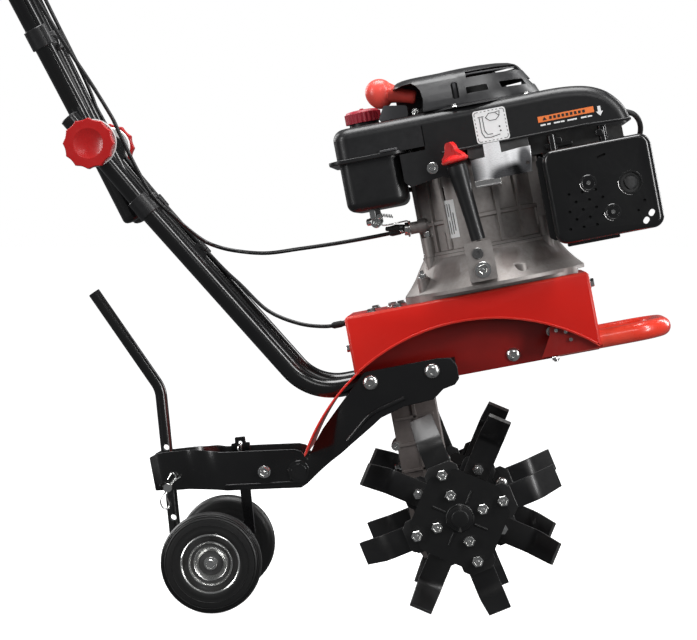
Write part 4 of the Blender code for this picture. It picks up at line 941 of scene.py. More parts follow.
def make_dome():
    """The starter's dome, whose nose reaches back over the pull handle."""
    base = COVER_TOP + 2.4
    skin = [(97, base), (96.8, base + 3), (93.7, 532), (88.7, 541), (83.6, 549), (78.4, 557.6), (75.6, 561.2),
            (71.4, 564.4), (64, 567.4), (53, 569.4), (40, 570.6), (0, 571.6)]
    inside = [(0, 568.6), (40, 567.6), (52, 566.4), (62, 564.4), (69, 561.4), (72.6, 558.6), (81, 547), (86, 539),
              (91, 530), (94, base)]
    # the arch that the handle comes out of, and a narrow pocket in the near side
    arch = [(0, 520), (49, 520), (52, 538), (50.4, 549), (46, 557), (40, 561.6), (29, 561), (10, 557), (0, 556)]
    cuts = [prism(arch, -110, -4), [slab((90.5, 99.5), (530, 552), 3, -110, -78)]]
    slots = []
    # vents as (first angle, last angle, low edge, high edge)
    vents = ((-89, 18), (-59, 29), (-19, 30), (21, 29), (60, 26))
    vents = [(start, start + wide, 534, 542.4) for start, wide in vents]
    vents += [(-87, -19, 555, 563.2), (-10, 52, 555, 563.2)]
    for start, stop, low, high in vents:
        outer = arc((0, 0), 106, start, stop, 16)
        inner = arc((0, 0), 60, stop, start, 16)
        slots.append(moved(prism(outer + inner, low, high, "Z"), DOME))
    cuts.append(slots)
    rings = []
    for reach, level in ((96, 521), (96, base + 3), (93, 532), (88, 541), (83, 549), (77.8, 557.6), (74.5, 561.2),
                         (70, 564.4), (62.5, 567.2), (52, 569), (44, 569.6)):
        left = 15 + 20 * (1 - math.sqrt(max(0, 1 - (max(0, level - 559) / 11) ** 2)))
        bend = min(26, reach * 0.5)
        ring = [(DOME[0] + 2, reach, level)]
        ring += [(a, b, level) for a, b in arc((left + bend, reach - bend), bend, 90, 180, 10)]
        ring += [(a, b, level) for a, b in arc((left + bend, bend - reach), bend, 180, 270, 10)]
        ring.append((DOME[0] + 2, -reach, level))
        rings.append(ring)
    nose = loft(rings)
    bar = [(*around(73, -92 + 152 * i / 40, DOME[0]), 559.6) for i in range(41)]
    piece("vent_bar", swept(bar, 1.1, 8), GREY_PLASTIC)
    piece("vent_pocket", block((93, 97), (-82, -78), (531, 551)), GREY_PLASTIC)
    piece("starter_dome", turned(skin + inside, DOME, sides=96), PLASTIC, joins=[nose], cuts=cuts,
          soften=0.6, stands_for="starter_cover", sharp=32)
    holder = plate([(-12, base), (29, base), (29, 536), (-1, 541)], 3, -52, -16)
    hole = rod((-14, -34, 552), (40, -34, 534), 7.5, 24)
    piece("rope_guide", holder, GREY_PLASTIC, soften=2.0, cuts=[hole])
    eyelet = [(4, 0), (7, 0), (7.6, 1), (7, 2.4), (4.6, 2.4), (4, 1.4)]
    eyelet = turned(eyelet, (38, -34, 546.6), PULL_WAY, 28)
    piece("rope_eyelet", eyelet, ZINC)
    caps = []
    for i in range(6):
        caps += bolt((*around(100.5, 60 * i + 20, DOME[0]), COVER_TOP + 0.4), (0, 0, 1), 6, 2.6, 4.6)
    caps += bolt((39, -56, 525), (-0.3, -0.9, 0.3), 7, 3, 5)
    pulley = [(0, 520), (58, 520), (62, 524), (62, 528), (50, 534), (50, 548), (30, 556), (0, 556)]
    piece("cover_screws", caps, ZINC, sharp=30)
    piece("rope_pulley", turned(pulley, (CRANK_X, 0, 0), sides=48), RUBBER)


def make_tank():
    side = COVER_SIDE
    top = pillow((-73, 42.6), (-side, side), 20, [(477, 0)] + quarter(COVER_TOP, 15, 8), sharp_right=6)
    for vert in top.verts:
        # the edge against the cover stays square
        if vert.co.x > 20:
            vert.co.x = 44.2
    lip = slab((-84, 18), (-108, 108), 20, 473.5, 479, 10, "Z")
    lower = pillow((-71, 8.6), (-98, 98), 16, quarter(409, 12, 7, -1)[::-1] + [(474, 0)])

    def flywheel_room():
        return turned([(0, 460), (84, 460), (84, 514), (0, 514)], (CRANK_X, 0, 0), sides=64)

    piece("tank_top", top, PLASTIC, cuts=[flywheel_room()], sharp=30, stands_for="fuel_tank")
    piece("tank_seam", lip, PLASTIC, cuts=[flywheel_room()], soften=1.2, sharp=34)
    piece("tank_base", lower, PLASTIC, cuts=[flywheel_room()], sharp=34)
    tabs = [slab((-16, 8), span(way, 100, 109.5), 3, 479, 482, along="Z") for way in SIDES]
    piece("tank_tabs", tabs, GREY_PLASTIC, soften=0.8)
    neck = turned([(0, 512), (24, 516), (22, 520), (20, 522), (20, 526), (0, 526)], (-32, 0, 0), sides=40)
    piece("tank_neck", neck, PLASTIC, sharp=40)
    ridges = []
    for i in range(96):
        radius = 24.5 if (i // 2) % 2 else 23.3
        ridges.append((radius * math.cos(math.pi * i / 48) - 32, radius * math.sin(math.pi * i / 48)))
    low = 526.3
    crown = [(0, 10), (23, 10), (23, 13.5), (21, 16.2), (14, 17.2), (12.6, 16), (0, 16)]
    crown = turned([(radius, low + rise) for radius, rise in crown], (-32, 0, 0), sides=48)
    grip = slab((-34.6, -29.4), (-12, 12), 2.4, low + 15, low + 18.8, along="Z")
    piece("cap_skin", [prism(ridges, low, low + 13.5, "Z"), crown, grip], CAP_RED, "fuel_cap", soften=0.5,
          stands_for="fuel_cap", sharp=30)
    bolts = []
    for way in SIDES:
        bolts += bolt((48, way * side, 447), (0, way, 0), 9.5, 4.5, 7.5)
    piece("skirt_bolts", bolts, ZINC, sharp=30)


def make_starter_handle():
    at, way = Vector(PULL_AT), Vector(PULL_WAY).normalized()
    stem = [(0, 0), (7.6, 0), (8.8, 1.4), (9.4, 5), (9.4, 14), (10.2, 22), (11.8, 30), (14, 37), (0, 43)]
    stem = turned(stem, at, way, 36)
    # the bulb is an egg that leans back
    bulb = bmesh.new()
    bmesh.ops.create_uvsphere(bulb, u_segments=40, v_segments=24, radius=1)
    middle = Vector((-3.4, -34, 558))
    tall, wide = Vector((-2.6, 0, 20)), Vector((18.6, 0, 2.2))
    for vert in bulb.verts:
        x, y, z = vert.co
        fat = 1 + 0.07 * z
        vert.co = middle + wide * x * fat + Vector((0, 15.5 * fat * y, 0)) + tall * z
    piece("pull_handle", [bulb], PULL_RED, "starter_handle", joins=[stem], soften=1.6, segments=4, sharp=60,
          stands_for="starter_handle")
    rope = [at + way * (1 - 39 * i / 40) for i in range(41)]
    cord = mesh_object("starter_rope", swept(rope, 2.1, 12), DECK)
    cord.data.materials.append(RUBBER)
    cord.data.shade_smooth()
    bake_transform(cord)


def make_oil_filler():
    low, high = Vector((89, -121, 345)), Vector((79, -121, 445))
    way = (high - low).normalized()
    length = (high - low).length
    tube = [(0, 0), (9.4, 0), (9.6, 2), (9.7, 26), (10.6, 56), (12.4, length - 18), (12.6, length - 13)]
    tube += [(13, length - 12), (13, length - 1), (12, length), (0, length)]
    piece("filler_tube", turned(tube, low, way, 40), PLASTIC, stands_for="oil_filler_tube", sharp=34)
    seat = high + way * 3
    collar = turned([(0, 0), (14, 0), (17.4, 1.6), (18, 3.6), (17, 5.6), (12, 7.6), (7, 10), (0, 11)], seat, way, 40)
    turn = Vector((0, 0, 1)).rotation_difference(way).to_matrix() @ Matrix.Rotation(math.radians(-32), 3, "Z")
    wing = [(-16.4, 3), (-16, 8.4), (-11.4, 12.6), (-8.2, 18), (-6.4, 24.4), (-2.8, 27.4), (2, 26.8), (5.4, 22),
            (7, 16), (11, 11.6), (14.8, 8), (16, 3)]
    wing = prism([(p.x, p.z) for p in smooth_route([(x, 0, z) for x, z in wing], 4)], -5, 5)
    bmesh.ops.rotate(wing, cent=(0, 0, 0), matrix=turn, verts=wing.verts)
    bmesh.ops.translate(wing, vec=seat, verts=wing.verts)
    piece("dipstick_grip", collar, STICK_RED, "dipstick", joins=[wing], soften=1.8, segments=4, stands_for="dipstick",
          sharp=40)


def make_muffler():
    dress("muffler", DARK_STEEL, 1.0)
    x, z = (187, 327.5), (318.5, 440)
    guard = pillow(x, z, 15, [(-96, 0)] + quarter(GUARD_FACE, 9, 8, -1), "Y", squash=0.5)
    thick = 1.8
    hollow = pillow((x[0] + thick, x[1] - thick), (z[0] + thick, z[1] - thick), 13.4,
                    [(-80, 0)] + quarter(-148.8, 8, 8, -1), "Y", squash=0.5)
    # cuts through the guard's face run from before it to behind it
    front, back = -160, -140
    outlet = (293, 381)
    screw_pits = ((240, 390), (264, 348))
    cuts = [hollow, cross_rod(*outlet, front, back, 13.6, 48)]
    for px, pz in ((312, 338), (303.6, 329.6)):
        hole = slab((px - 4.6, px + 4.6), (pz - 3.4, pz + 3.4), 3.2, front, back, 6)
        cuts.append(moved(hole, degrees=-48, axis="Y", about=(px, -150, pz)))
    slot = slab((256, 268), (419.6, 422.4), 1.3, front, back)
    cuts.append(moved(slot, degrees=-14, axis="Y", about=(262, -150, 421)))
    pits = []
    for row in range(5):
        for column in range(6):
            if (row + column) % 2 == 0:
                pits.append(cross_rod(207 + 8.6 * column + row * 1.5, 336 + 11 * row, front, back, 1.9, 12))
    pits += [cross_rod(306, 355, front, back, 2, 12), cross_rod(296, 344, front, back, 1.6, 12)]
    cuts.append(pits)
    # a dark sheet behind the perforations: painted shade seen through the holes
    hole_shade = (((194, 268), (326, 392)), ((290, 312), (349, 362)), ((288, 300), (341, 349)))
    hole_shade = [block(wide, (-147.6, -146.6), tall) for wide, tall in hole_shade]
    piece("guard_hole_shade", hole_shade, RUBBER)
    piece("guard_shell", guard, BLACK, cuts=cuts, sharp=34, stands_for="muffler_guard")
    x, z = outlet
    ring = turned([(13.2, 0), (15.6, 0), (15.0, 0.9), (13.2, 0.9)], (x, -150.6, z), (0, -1, 0), 48)
    pipe = turned([(9.5, 0), (13.0, 0), (13.0, 10), (9.5, 10)], (x, -139, z), (0, -1, 0), 40)
    spark = turned([(0, 0), (9.6, 0), (9.6, 1), (0, 1)], (x, -134, z), (0, -1, 0), 40)
    # painted highlights: thin bright arcs low on the left of each recess, where its pressed rim would catch the light
    glints = []
    for spot, radius, first, last in ((outlet, 16.2, 165, 265), *((pit, 11.3, 175, 262) for pit in screw_pits)):
        glints.append(swept([(a, -151.1, b) for a, b in arc(spot, radius, first, last, 24)], 0.45, 8))
    piece("guard_painted_glints", glints, MACHINED)
    piece("exhaust_ring", ring, BLACK, sharp=40)
    piece("exhaust_pipe", [pipe, spark], RUBBER, sharp=40)
    dimples, screws = [], []
    for px, pz in screw_pits:
        dimples.append(turned([(7.6, 0), (10.6, 0), (9.8, 0.7), (8.6, 0.7)], (px, -150.9, pz), (0, -1, 0), 40))
        screws += bolt((px, GUARD_FACE, pz), (0, -1, 0), 5.6, 1.8, 0)
    piece("guard_dimples", dimples, BLACK)
    piece("guard_screws", screws + bolt((205, -118, 326), (0, -1, 0), 8, 3, 6), ZINC, sharp=30)
    # the flange folded along the guard's rear edge and its lower lip
    edge = [plate([(180, 330), (191, 322), (191, 432), (185, 436), (180, 430)], 3, -118, -116)]
    edge.append(slab((200, 268), (314.6, 319), 1.6, -138, -136))
    piece("guard_flanges", edge, BLACK, soften=0.5)
    posts = [cross_rod(214, 452, -100, -60, 5, 24, 0.8), cross_rod(268, 452, -100, -60, 5, 24, 0.8)]
    posts += [rod((206, -96, 440), (206, -96, 461), 6, 24), rod((272, -92, 440), (272, -92, 461), 5.6, 24)]
    posts.append(block((196, 232), (-98, -60), (444, 450)))
    piece("guard_posts", posts, BLACK, soften=0.6)


def make_shield():
    """A bright sheet with a tongue up under the cover, bowed and creased a little."""
    columns, rows = 60, 10
    left_end, right_end = 98, 177
    tops = [(98, 447), (117, 448), (117.4, 465), (138.6, 465), (139, 450), (163, 452), (177, 452)]

    def top_edge(x):
        for (xa, za), (xb, zb) in zip(tops, tops[1:]):
            if xa <= x <= xb:
                return za + (zb - za) * (x - xa) / max(xb - xa, 0.01)
        return tops[-1][1]

    shape = bmesh.new()
    grid = []
    even = {left_end + (right_end - left_end) * i / columns for i in range(columns + 1)}
    for x in sorted(even | {117, 117.4, 138.6, 139}):
        bottom = 418 + (x - left_end) / 79
        top = top_edge(x)
        column = []
        for k in range(rows + 1):
            z = bottom + (top - bottom) * k / rows
            bow = 5.2 * math.sin(math.pi * (x - 98) / 79) + 1.0 * math.sin(math.pi * (z - 418) / 34)
            crease = 0.9 * math.exp(-(((x - 146) / 3.4) ** 2)) - 0.7 * math.exp(-(((x - 120) / 4.5) ** 2))
            column.append(shape.verts.new((min(x, 177 - (452 - min(z, 452)) * 0.12), -109.6 - bow - crease, z)))
        grid.append(column)
    for left, right in zip(grid, grid[1:]):
        for k in range(rows):
            shape.faces.new((left[k], right[k], right[k + 1], left[k + 1]))
    bmesh.ops.recalc_face_normals(shape, faces=shape.faces)
    made = mesh_object("shield_sheet", shape, DECK)
    thick = made.modifiers.new("thick", "SOLIDIFY")
    thick.thickness = 1.6 * MM
    thick.offset = 0
    bake(made)
    combine(made, cross_rod(170, 431, -125, -100, 2.6, 20), "DIFFERENCE", DECK)
    made.data.materials.clear()
    made.data.materials.append(SHIELD)
    made.data.shade_smooth()
    made.data.set_sharp_from_angle(angle=math.radians(40))
    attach(made, "chassis")
    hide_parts("heat_shield")
    lip = plate([(98, -115), (132, -115), (132, -92), (98, -92)], 2, 410.6, 412.6, "Z")
    web = block((98, 132), (-114.6, -112.8), (411.6, 419.6))
    piece("shield_lip", [lip, web], MACHINED, soften=0.4)


def make_labels():
    y = -COVER_SIDE - 0.25
    front, back = y - 0.35, y + 0.3  # a label's two faces
    piece("side_label", slab((111, 154), (466, 508.5), 4, front, back, 6), WHITE_LABEL)
    # a dashed line inside the label's edge
    lines = []
    border = [Vector(point) for point in rounded((113, 152), (468, 506.5), 3, 6)]
    for a, b in zip(border, border[1:] + border[:1]):
        count = max(1, int((b - a).length / 2.4))
        for k in range(count):
            if k % 2 == 0:
                p, q = a.lerp(b, k / count), a.lerp(b, (k + 0.9) / count)
                lines.append(swept([(p.x, front, p.y), (q.x, front, q.y)], 0.4, 6))
    # a plain drawing: a spout, a drop and two dots
    for route in (
        [(119, 499), (119, 480), (122, 473), (130, 472), (142, 474)],
        [(123, 499), (123, 482), (126, 476.5), (133, 476)],
        [(117, 500), (125, 500)],
        [(127, 498), (132, 503), (140, 503), (145, 498), (140, 493.5), (132, 493.5), (127, 498)],
        [(140, 503), (146, 504), (145, 498)],
    ):
        lines.append(swept([(x, front, z) for x, z in route], 0.5, 6))
    lines += [cross_rod(143, 484, y - 0.6, y - 0.2, 1.1, 12), cross_rod(143.5, 478.5, y - 0.6, y - 0.2, 1.1, 12)]
    piece("label_drawing", lines, INK)
    strip = prism([(193, 478.6), (266, 478.9), (266, 486.6), (193, 486.2)], front, back)
    piece("orange_strip", strip, ORANGE_LABEL)
    # plain bars in the place of words
    bars = [block((208 + 5.4 * i, 208 + 5.4 * i + 3.2), (y - 0.7, y - 0.3), (480.8, 484.6)) for i in range(9)]
    bars.append(prism([(199, 480.6), (204.4, 480.6), (201.7, 485)], y - 0.7, y - 0.3))
    piece("strip_bars", bars, INK)
    bars = []
    for i, wide in enumerate((7, 4.6, 8, 5, 9, 3.6, 7.4, 6)):
        start = 195 + 8.8 * i
        bars.append(block((start, start + wide), (front, back), (473.8, 475.8)))
    piece("pale_bars", bars, WHITE_LABEL)
    arrow = [(271, 485.5), (275, 485.5), (275, 478.5), (277.6, 478.5), (273, 472.6), (268.4, 478.5), (271, 478.5)]
    piece("fill_arrow", prism(arrow, front, back), WHITE_LABEL)
    # a plain sticker bent round the crankcase, with a few upright rules
    rings = []
    for z in (353, 403):
        rings.append([(CRANK_X + r * math.cos(a), r * math.sin(a), z)
                      for r, turn in ((85.25, 1), (85.7, -1))
                      for a in (math.radians(240.5 + turn * (-6.2 + 12.4 * k / 8)) for k in range(9))])
    piece("case_sticker", loft(rings), WHITE_LABEL)
    rules = []
    for turn, *ends in (
        (237.2, 358, 398), (239.6, 358, 376), (239.6, 381, 398), (242, 358, 398), (244.2, 362, 386),
    ):
        rules.append(swept([(*around(85.6, turn, CRANK_X), z) for z in ends], 0.6, 8))
    piece("sticker_rules", rules, INK)


def make_linkage():
    """The governor's lever on the tank's underside, its wire and spring, and the cable's boot."""
    leg = plate([(-45, 418), (-38, 418), (-38, 396), (-45, 396)], 1.5, -64, -61)
    piece("governor_leg", leg, ZINC, soften=0.4)
    arm = plate([(-37, 417), (-31, 417), (-28.5, 392), (-33, 386), (-38, 390)], 2, -68, -65.6)
    piece("governor_arm", arm, DARK_STEEL, soften=0.4)
    heads = bolt((-38.5, -68, 391), (0, -1, 0), 9, 4, 6.5) + bolt((-45, -64, 394), (-1, -0.3, 0), 8, 4, 5)
    heads += nut((-33, -68, 398), (0, -1, 0), 8, 4.5, 2)
    piece("governor_bolts", heads, ZINC, sharp=30)
    wire = [(-31.5, -70, 388), (-29, -70, 386.5), (-18, -68, 386), (-4, -60, 386.6), (2, -52, 386),
            (4.6, -47, 379), (6, -44, 375)]
    piece("governor_wire", swept(smooth_route(wire, 6), 0.95, 10), ZINC)
    spring = []
    for i in range(61):
        a = 2 * math.pi * i / 6
        spring.append((-36 + 0.42 * i * 0.8, -64 + 2.4 * math.cos(a), 402 + 2.4 * math.sin(a) - 0.1 * i))
    piece("governor_spring", swept(spring, 0.45, 6), ZINC)
    boot = turned([(0, 0), (2.8, 1), (3.4, 6), (5.2, 12), (5.8, 14), (5.8, 25), (5.0, 26), (0, 26)],
                  (-29.5, -40, 381.6), (0.985, 0, -0.17), 24)
    piece("cable_boot", boot, RUBBER)
    collar = [rod((-4, -40, 376.8), (1, -40, 376), 8.6, 28, 0.6)]
    collar.append(rod((1.0, -40, 376), (3.4, -40, 375.6), 10.6, 28, 0.6))
    collar += nut((-6.5, -40, 377.2), (-1, 0, 0.1), 11, 4, 0)
    piece("cable_collar", collar, ZINC, sharp=34)


def make_intake():
    dress("carburettor", CAST, 1.2)
    dress("throttle_arm", ZINC, 0.3)
    box = slab((148, 262), (342, 452), 16, 112.3, 160, 10)
    face = [e for e in box.edges if all(v.co.y > 159.9 for v in e.verts)]
    bmesh.ops.bevel(box, geom=face, offset=9, segments=6, profile=0.5, affect="EDGES", clamp_overlap=True)
    cuts = [[slab((164, 246), (360 + 15 * i, 365 + 15 * i), 2.4, 157.6, 165) for i in range(5)]]
    piece("filter_box", box, PLASTIC, cuts=cuts, stands_for="air_filter", sharp=34)
    seam = slab((146.8, 263.2), (340.8, 453.2), 17, 128, 130.6, 10)
    piece("filter_seam", seam, PLASTIC, soften=0.6)
    knob = turned([(0, 0), (9, 0), (10, 2), (10, 7), (8, 9), (0, 9.6)], (205, 159, 437), (0, 1, 0), 10)
    piece("filter_knob", knob, PLASTIC, soften=0.6)
    bowl = turned([(0, 358), (14, 359), (17, 363), (17, 384), (18, 386), (0, 386)], (238, 90, 0), sides=32)
    piece("carburettor_bowl", bowl, MACHINED, sharp=34)
    piece("bowl_nut", nut((238, 90, 358.4), (0, 0, -1), 10, 5, 0), ZINC, sharp=30)
    fuel = [(222, 78, 388), (200, 80, 396), (150, 92, 412), (90, 98, 420), (40, 92, 424), (2, 70, 430)]
    piece("fuel_hose", swept(smooth_route(fuel, 8), 3.4, 16), RUBBER)


def make_deck_top_bolts():
    heads = bolt((-40, 0, DECK_TOP), (0, 0, 1), 10, 4.5, 8) + bolt((180, 0, DECK_TOP), (0, 0, 1), 10, 4.5, 8)
    piece("deck_top_bolts", heads, ZINC, sharp=30)


# ---------------------------------------------------------------- handlebar, knobs and controls


def tube_path(side):
    """The centre line of a lower handlebar tube."""
    y = side * LOWER_TUBE_Y
    start, bend, middle, end = [
        Vector((x, y, z)) for x, z in (deck_to_ground(30, TUBE_LEVEL), (-197, 282), (-409.7, 519.3), (-514, 642.5))
    ]
    path = filleted([start, bend, middle], 72, 14)[:-1]
    return path + filleted([path[-1], middle, end], 400, 6)[1:]


def plug(path):
    """A moulded plug pressed into a tube's end."""
    end, before = path[-1], path[-2]
    way = (end - before).normalized()
    face = [(0, -6), (10.4, -6), (10.4, 0.2), (12.7, 0.2), (12.7, 1.6), (11.6, 2.8), (7, 3.5), (0, 3.7)]
    return turned(face, end, way, 32)


def ring_on(point, way, inner, outer, wide, sides=36):
    """A band round a bar, with softened outer edges."""
    soft = min(1.0, (outer - inner) * 0.4)
    profile = [(inner, -wide / 2), (outer - soft, -wide / 2), (outer, soft - wide / 2), (outer, wide / 2 - soft)]
    profile += [(outer - soft, wide / 2), (inner, wide / 2)]
    return turned(profile, point, way, sides)


def make_handlebar():
    for side, word in SIDE_WORDS:
        path = tube_path(side)
        bore = cross_rod(PIVOT[0], PIVOT[1], side * LOWER_TUBE_Y - 20, side * LOWER_TUBE_Y + 20, 4.6, 20)
        piece(f"lower_tube_{word}", swept(path, TUBE, 40), BLACK, "chassis", GROUND, cuts=[bore],
              stands_for=f"lower_handlebar_{word}", sharp=44)
        piece(f"lower_plug_{word}", plug(path), PLASTIC, "chassis", GROUND)
    # the upper tubes, their stubs under the pivot, and the brace between them
    lean = math.radians(27)

    def along(distance):
        rise = distance * math.cos(lean)
        y = UPPER_TUBE_Y + 0.145 * max(0, rise - 50)
        return Vector((PIVOT[0] - distance * math.sin(lean), y, PIVOT[1] + rise))

    start, end = Vector(GRIP_START), Vector(GRIP_END)
    route = [along(-106), along(56), along(330), start, end]
    path = filleted(route, 46, 12)
    other = [Vector((p.x, -p.y, p.z)) for p in path]
    for side, word, run in ((1, "left", path), (-1, "right", other)):
        y = side * UPPER_TUBE_Y
        bore = cross_rod(PIVOT[0], PIVOT[1], y - 20, y + 20, 4.6, 20)
        piece(f"upper_tube_{word}", swept(run, TUBE, 40), BLACK, "upper_handlebar", GROUND, cuts=[bore],
              stands_for="upper_handlebar" if side == 1 else (), sharp=44)
        nub = [(0, -6), (10.4, -6), (10.4, 0.2), (12.5, 0.2), (12.2, 2.6), (11, 4.8), (8.4, 6.6), (4.6, 7.6),
               (0, 7.9)]
        piece(f"upper_plug_{word}", turned(nub, run[0], (run[0] - run[1]).normalized(), 32), PLASTIC,
              "upper_handlebar", GROUND)
    brace = along(158)
    bar = [swept([Vector((brace.x, -brace.y + 6, brace.z)), Vector((brace.x, brace.y - 6, brace.z))], 9, 32)]
    ends = []
    for side in SIDES:
        y = side * brace.y
        ends.append(turned([(9, 0), (12.2, 0), (12.2, 5), (10.4, 8), (9, 8)],
                           (brace.x, y - side * 13.6, brace.z), (0, -side, 0), 32))
    piece("handlebar_brace", bar, BLACK, "upper_handlebar", GROUND)
    piece("brace_collars", ends, BLACK, "upper_handlebar", GROUND)
    collars = []
    spot = along(158)
    way = (along(160) - along(156)).normalized()
    for side in SIDES:
        collars.append(ring_on((spot.x, side * spot.y, spot.z), (way.x, side * way.y, way.z), 12.3,
                               16.5 if side > 0 else 15.5, 28))
    piece("tube_collars", collars, PLASTIC, "upper_handlebar", GROUND)

    way = (end - start).normalized()
    length = (end - start).length
    for side, word in SIDE_WORDS:
        flip = Vector((1, side, 1))
        profile = [(12.7, 36.4), (17.6, 36.4), (18.8, 37.2), (19, 38.6), (18.6, 40), (16.4, 42.4), (15.8, 46)]
        at = 48.0
        while at < length - 8:
            profile += [(15.6, at), (16.3, at + 0.9), (16.5, at + 2.2), (16.3, at + 3.5), (15.6, at + 4.4)]
            at += 5.0
        profile += [(16, length - 3), (17.8, length - 1), (18, length + 2), (17.8, length + 5), (16, length + 6.6),
                    (6, length + 7), (0, length + 6.4), (0, length + 0.2), (12.7, length + 0.2)]
        # the profile closes on itself, so its axis points are pushed off the axis
        profile = [(max(radius, 0.05), height) for radius, height in profile]
        piece(f"grip_skin_{word}", turned(profile, start * flip, way * flip, 48), RUBBER, "upper_handlebar", GROUND,
              stands_for=f"grip_{word}", sharp=50)
    return start, way


def make_levers(start, way):
    flip = Vector((1, -1, 1))
    at = start + way * 8 + Vector((0, 0, -22))
    run = [at, at + way * 14 + Vector((0, 0, -16)), at + way * 100 + Vector((0, 0, -24))]
    lever = swept(filleted(run, 12, 8), 5, 24)
    tip = turned([(0, -12), (5.6, -12), (6.2, -10), (6.2, 0), (5.2, 3), (3, 4.6), (0, 5)], run[2],
                 (run[2] - run[1]), 24)
    piece("clutch_bail", lever, BLACK, "clutch_lever", GROUND, stands_for="clutch_lever", sharp=44)
    piece("bail_tip", tip, PULL_RED, "clutch_lever", GROUND)
    hub = [cross_rod(at.x, at.z, at.y - 8, at.y + 8, 7.4, 28, 1.0)]
    piece("bail_hub", hub, DARK_STEEL, "clutch_lever", GROUND)
    mount = start + way * 8
    shell = [ring_on(mount, way, 12.4, 16.4, 20)]
    cheek = [(at.x - 9, at.z - 5), (at.x + 9, at.z - 5), (at.x + 9, mount.z - 11), (at.x - 9, mount.z - 11)]
    shell.append(plate(cheek, 3, at.y - 11.6, at.y - 8.6, steps=4))
    shell.append(plate(cheek, 3, at.y + 8.6, at.y + 11.6, steps=4))
    piece("clutch_mount", shell, PLASTIC, "upper_handlebar", GROUND, soften=0.6)
    pin = bolt((at.x, at.y - 11.6, at.z), (0, -1, 0), 8, 3.4, 0)
    pin += nut((at.x, at.y + 11.6, at.z), (0, 1, 0), 8, 4, 1.5)
    piece("clutch_pin", pin, ZINC, "upper_handlebar", GROUND, sharp=30)

    at = (start + way * 4) * flip + Vector((0, 0, 25))
    drum = turned([(0, -9), (10, -9), (11, -8), (11, 8), (10, 9), (0, 9)], at, (0, 1, 0), 36)
    thumb = [(-4, 4), (4, 4), (6.6, 20), (8.6, 33), (8.2, 36.4), (5.4, 38.6), (2.4, 39), (-0.4, 37), (-1.2, 33),
             (-2.4, 18)]
    piece("throttle_thumb", drum, PULL_RED, "throttle_lever", GROUND, joins=[moved(prism(thumb, -4, 4), at)],
          soften=1.0, stands_for="throttle_lever")
    mount = (start + way * 4) * flip
    shell = [ring_on(mount, way * flip, 12.4, 16.0, 22)]
    for side in SIDES:
        cheek = [(0, 0), (13, 0), (14.4, 1), (14.4, 2.4), (13, 3.6), (0, 4)]
        shell.append(turned(cheek, (at.x, at.y + side * 9.6, at.z), (0, side, 0), 36))
        reach = sorted((at.y + side * 9.6, at.y + side * 13))
        shell.append(block((at.x - 8, at.x + 8), reach, (mount.z + 10, at.z - 2)))
    piece("throttle_mount", shell, PLASTIC, "upper_handlebar", GROUND, soften=0.6)
    screws = []
    for side in SIDES:
        screws += bolt((at.x, at.y + side * 13.4, at.z), (0, side, 0), 6, 2.4, 5)
    piece("throttle_screws", screws, ZINC, "upper_handlebar", GROUND, sharp=30)


def make_knobs():
    for side, word in SIDE_WORDS:
        outline = []
        for i in range(144):
            angle = 2 * math.pi * i / 144
            radius = 33.7 - 2.6 * abs(math.sin(6 * angle)) ** 0.8
            outline.append((PIVOT[0] + radius * math.cos(angle), PIVOT[1] + radius * math.sin(angle)))
        near, far = LOWER_TUBE_Y + 20, LOWER_TUBE_Y + 36
        body = prism(outline, *span(side, near, far))
        x, z = PIVOT
        skirt = turned([(0, 0), (13.5, 0), (14.2, 1), (16.5, 7.2), (20, 9), (0, 9)],
                       (x, side * (LOWER_TUBE_Y + 13.4), z), (0, side, 0), 40)
        dish = [(0, -4.6), (8, -4.2), (14, -2.9), (19, -0.8), (23, 1.6), (23, 12), (0, 12)]
        dish = turned([(radius, far + height) for radius, height in dish], (x, 0, z), (0, side, 0), 64)
        piece(f"knob_skin_{word}", body, KNOB_RED, f"knob_{word}", GROUND, joins=[skirt], cuts=[dish], soften=2.6,
              segments=5, sharp=50, stands_for=f"knob_{word}")
        thread = [(0, 30)]
        for i in range(21):
            thread += [(3.3, 30 + 1.25 * i), (3.9, 30.6 + 1.25 * i)]
        thread += [(3.9, 58), (3.9, near), (0, near)]
        piece(f"knob_bolt_{word}", turned(thread, (x, 0, z), (0, side, 0), 20), ZINC, f"knob_{word}", GROUND)
        # a cupped washer under the knob and a pair of discs between the tubes
        wide, shift = (31.5, 3.2) if side < 0 else (27, 2)
        cup = [(9, 0), (wide - 1.5, 0), (wide, 1.2), (wide, 3.6), (wide - 1.2, 4), (wide - 1.6, 2.2), (9, 2.0)]
        cup = turned(cup, (x + shift, side * (LOWER_TUBE_Y + 12.7), z + 1), (0, side, 0), 64)
        piece(f"cup_washer_{word}", cup, PALE_ZINC, "chassis", GROUND)
        discs = []
        middle = side * (LOWER_TUBE_Y + UPPER_TUBE_Y) / 2
        for face in SIDES:
            discs.append(turned([(4.2, 0), (23, 0), (24, 0.6), (24, 3.6), (22.6, 4.2), (4.2, 4.2)],
                                (x + 2, middle + face * 0.3 - (4.2 if face < 0 else 0), z - 6), (0, 1, 0), 48))
        piece(f"hinge_spacer_{word}", discs, PLASTIC, "upper_handlebar", GROUND, soften=0.4,
              cuts=[cross_rod(x, z, middle - 12, middle + 12, 4.4, 20)])


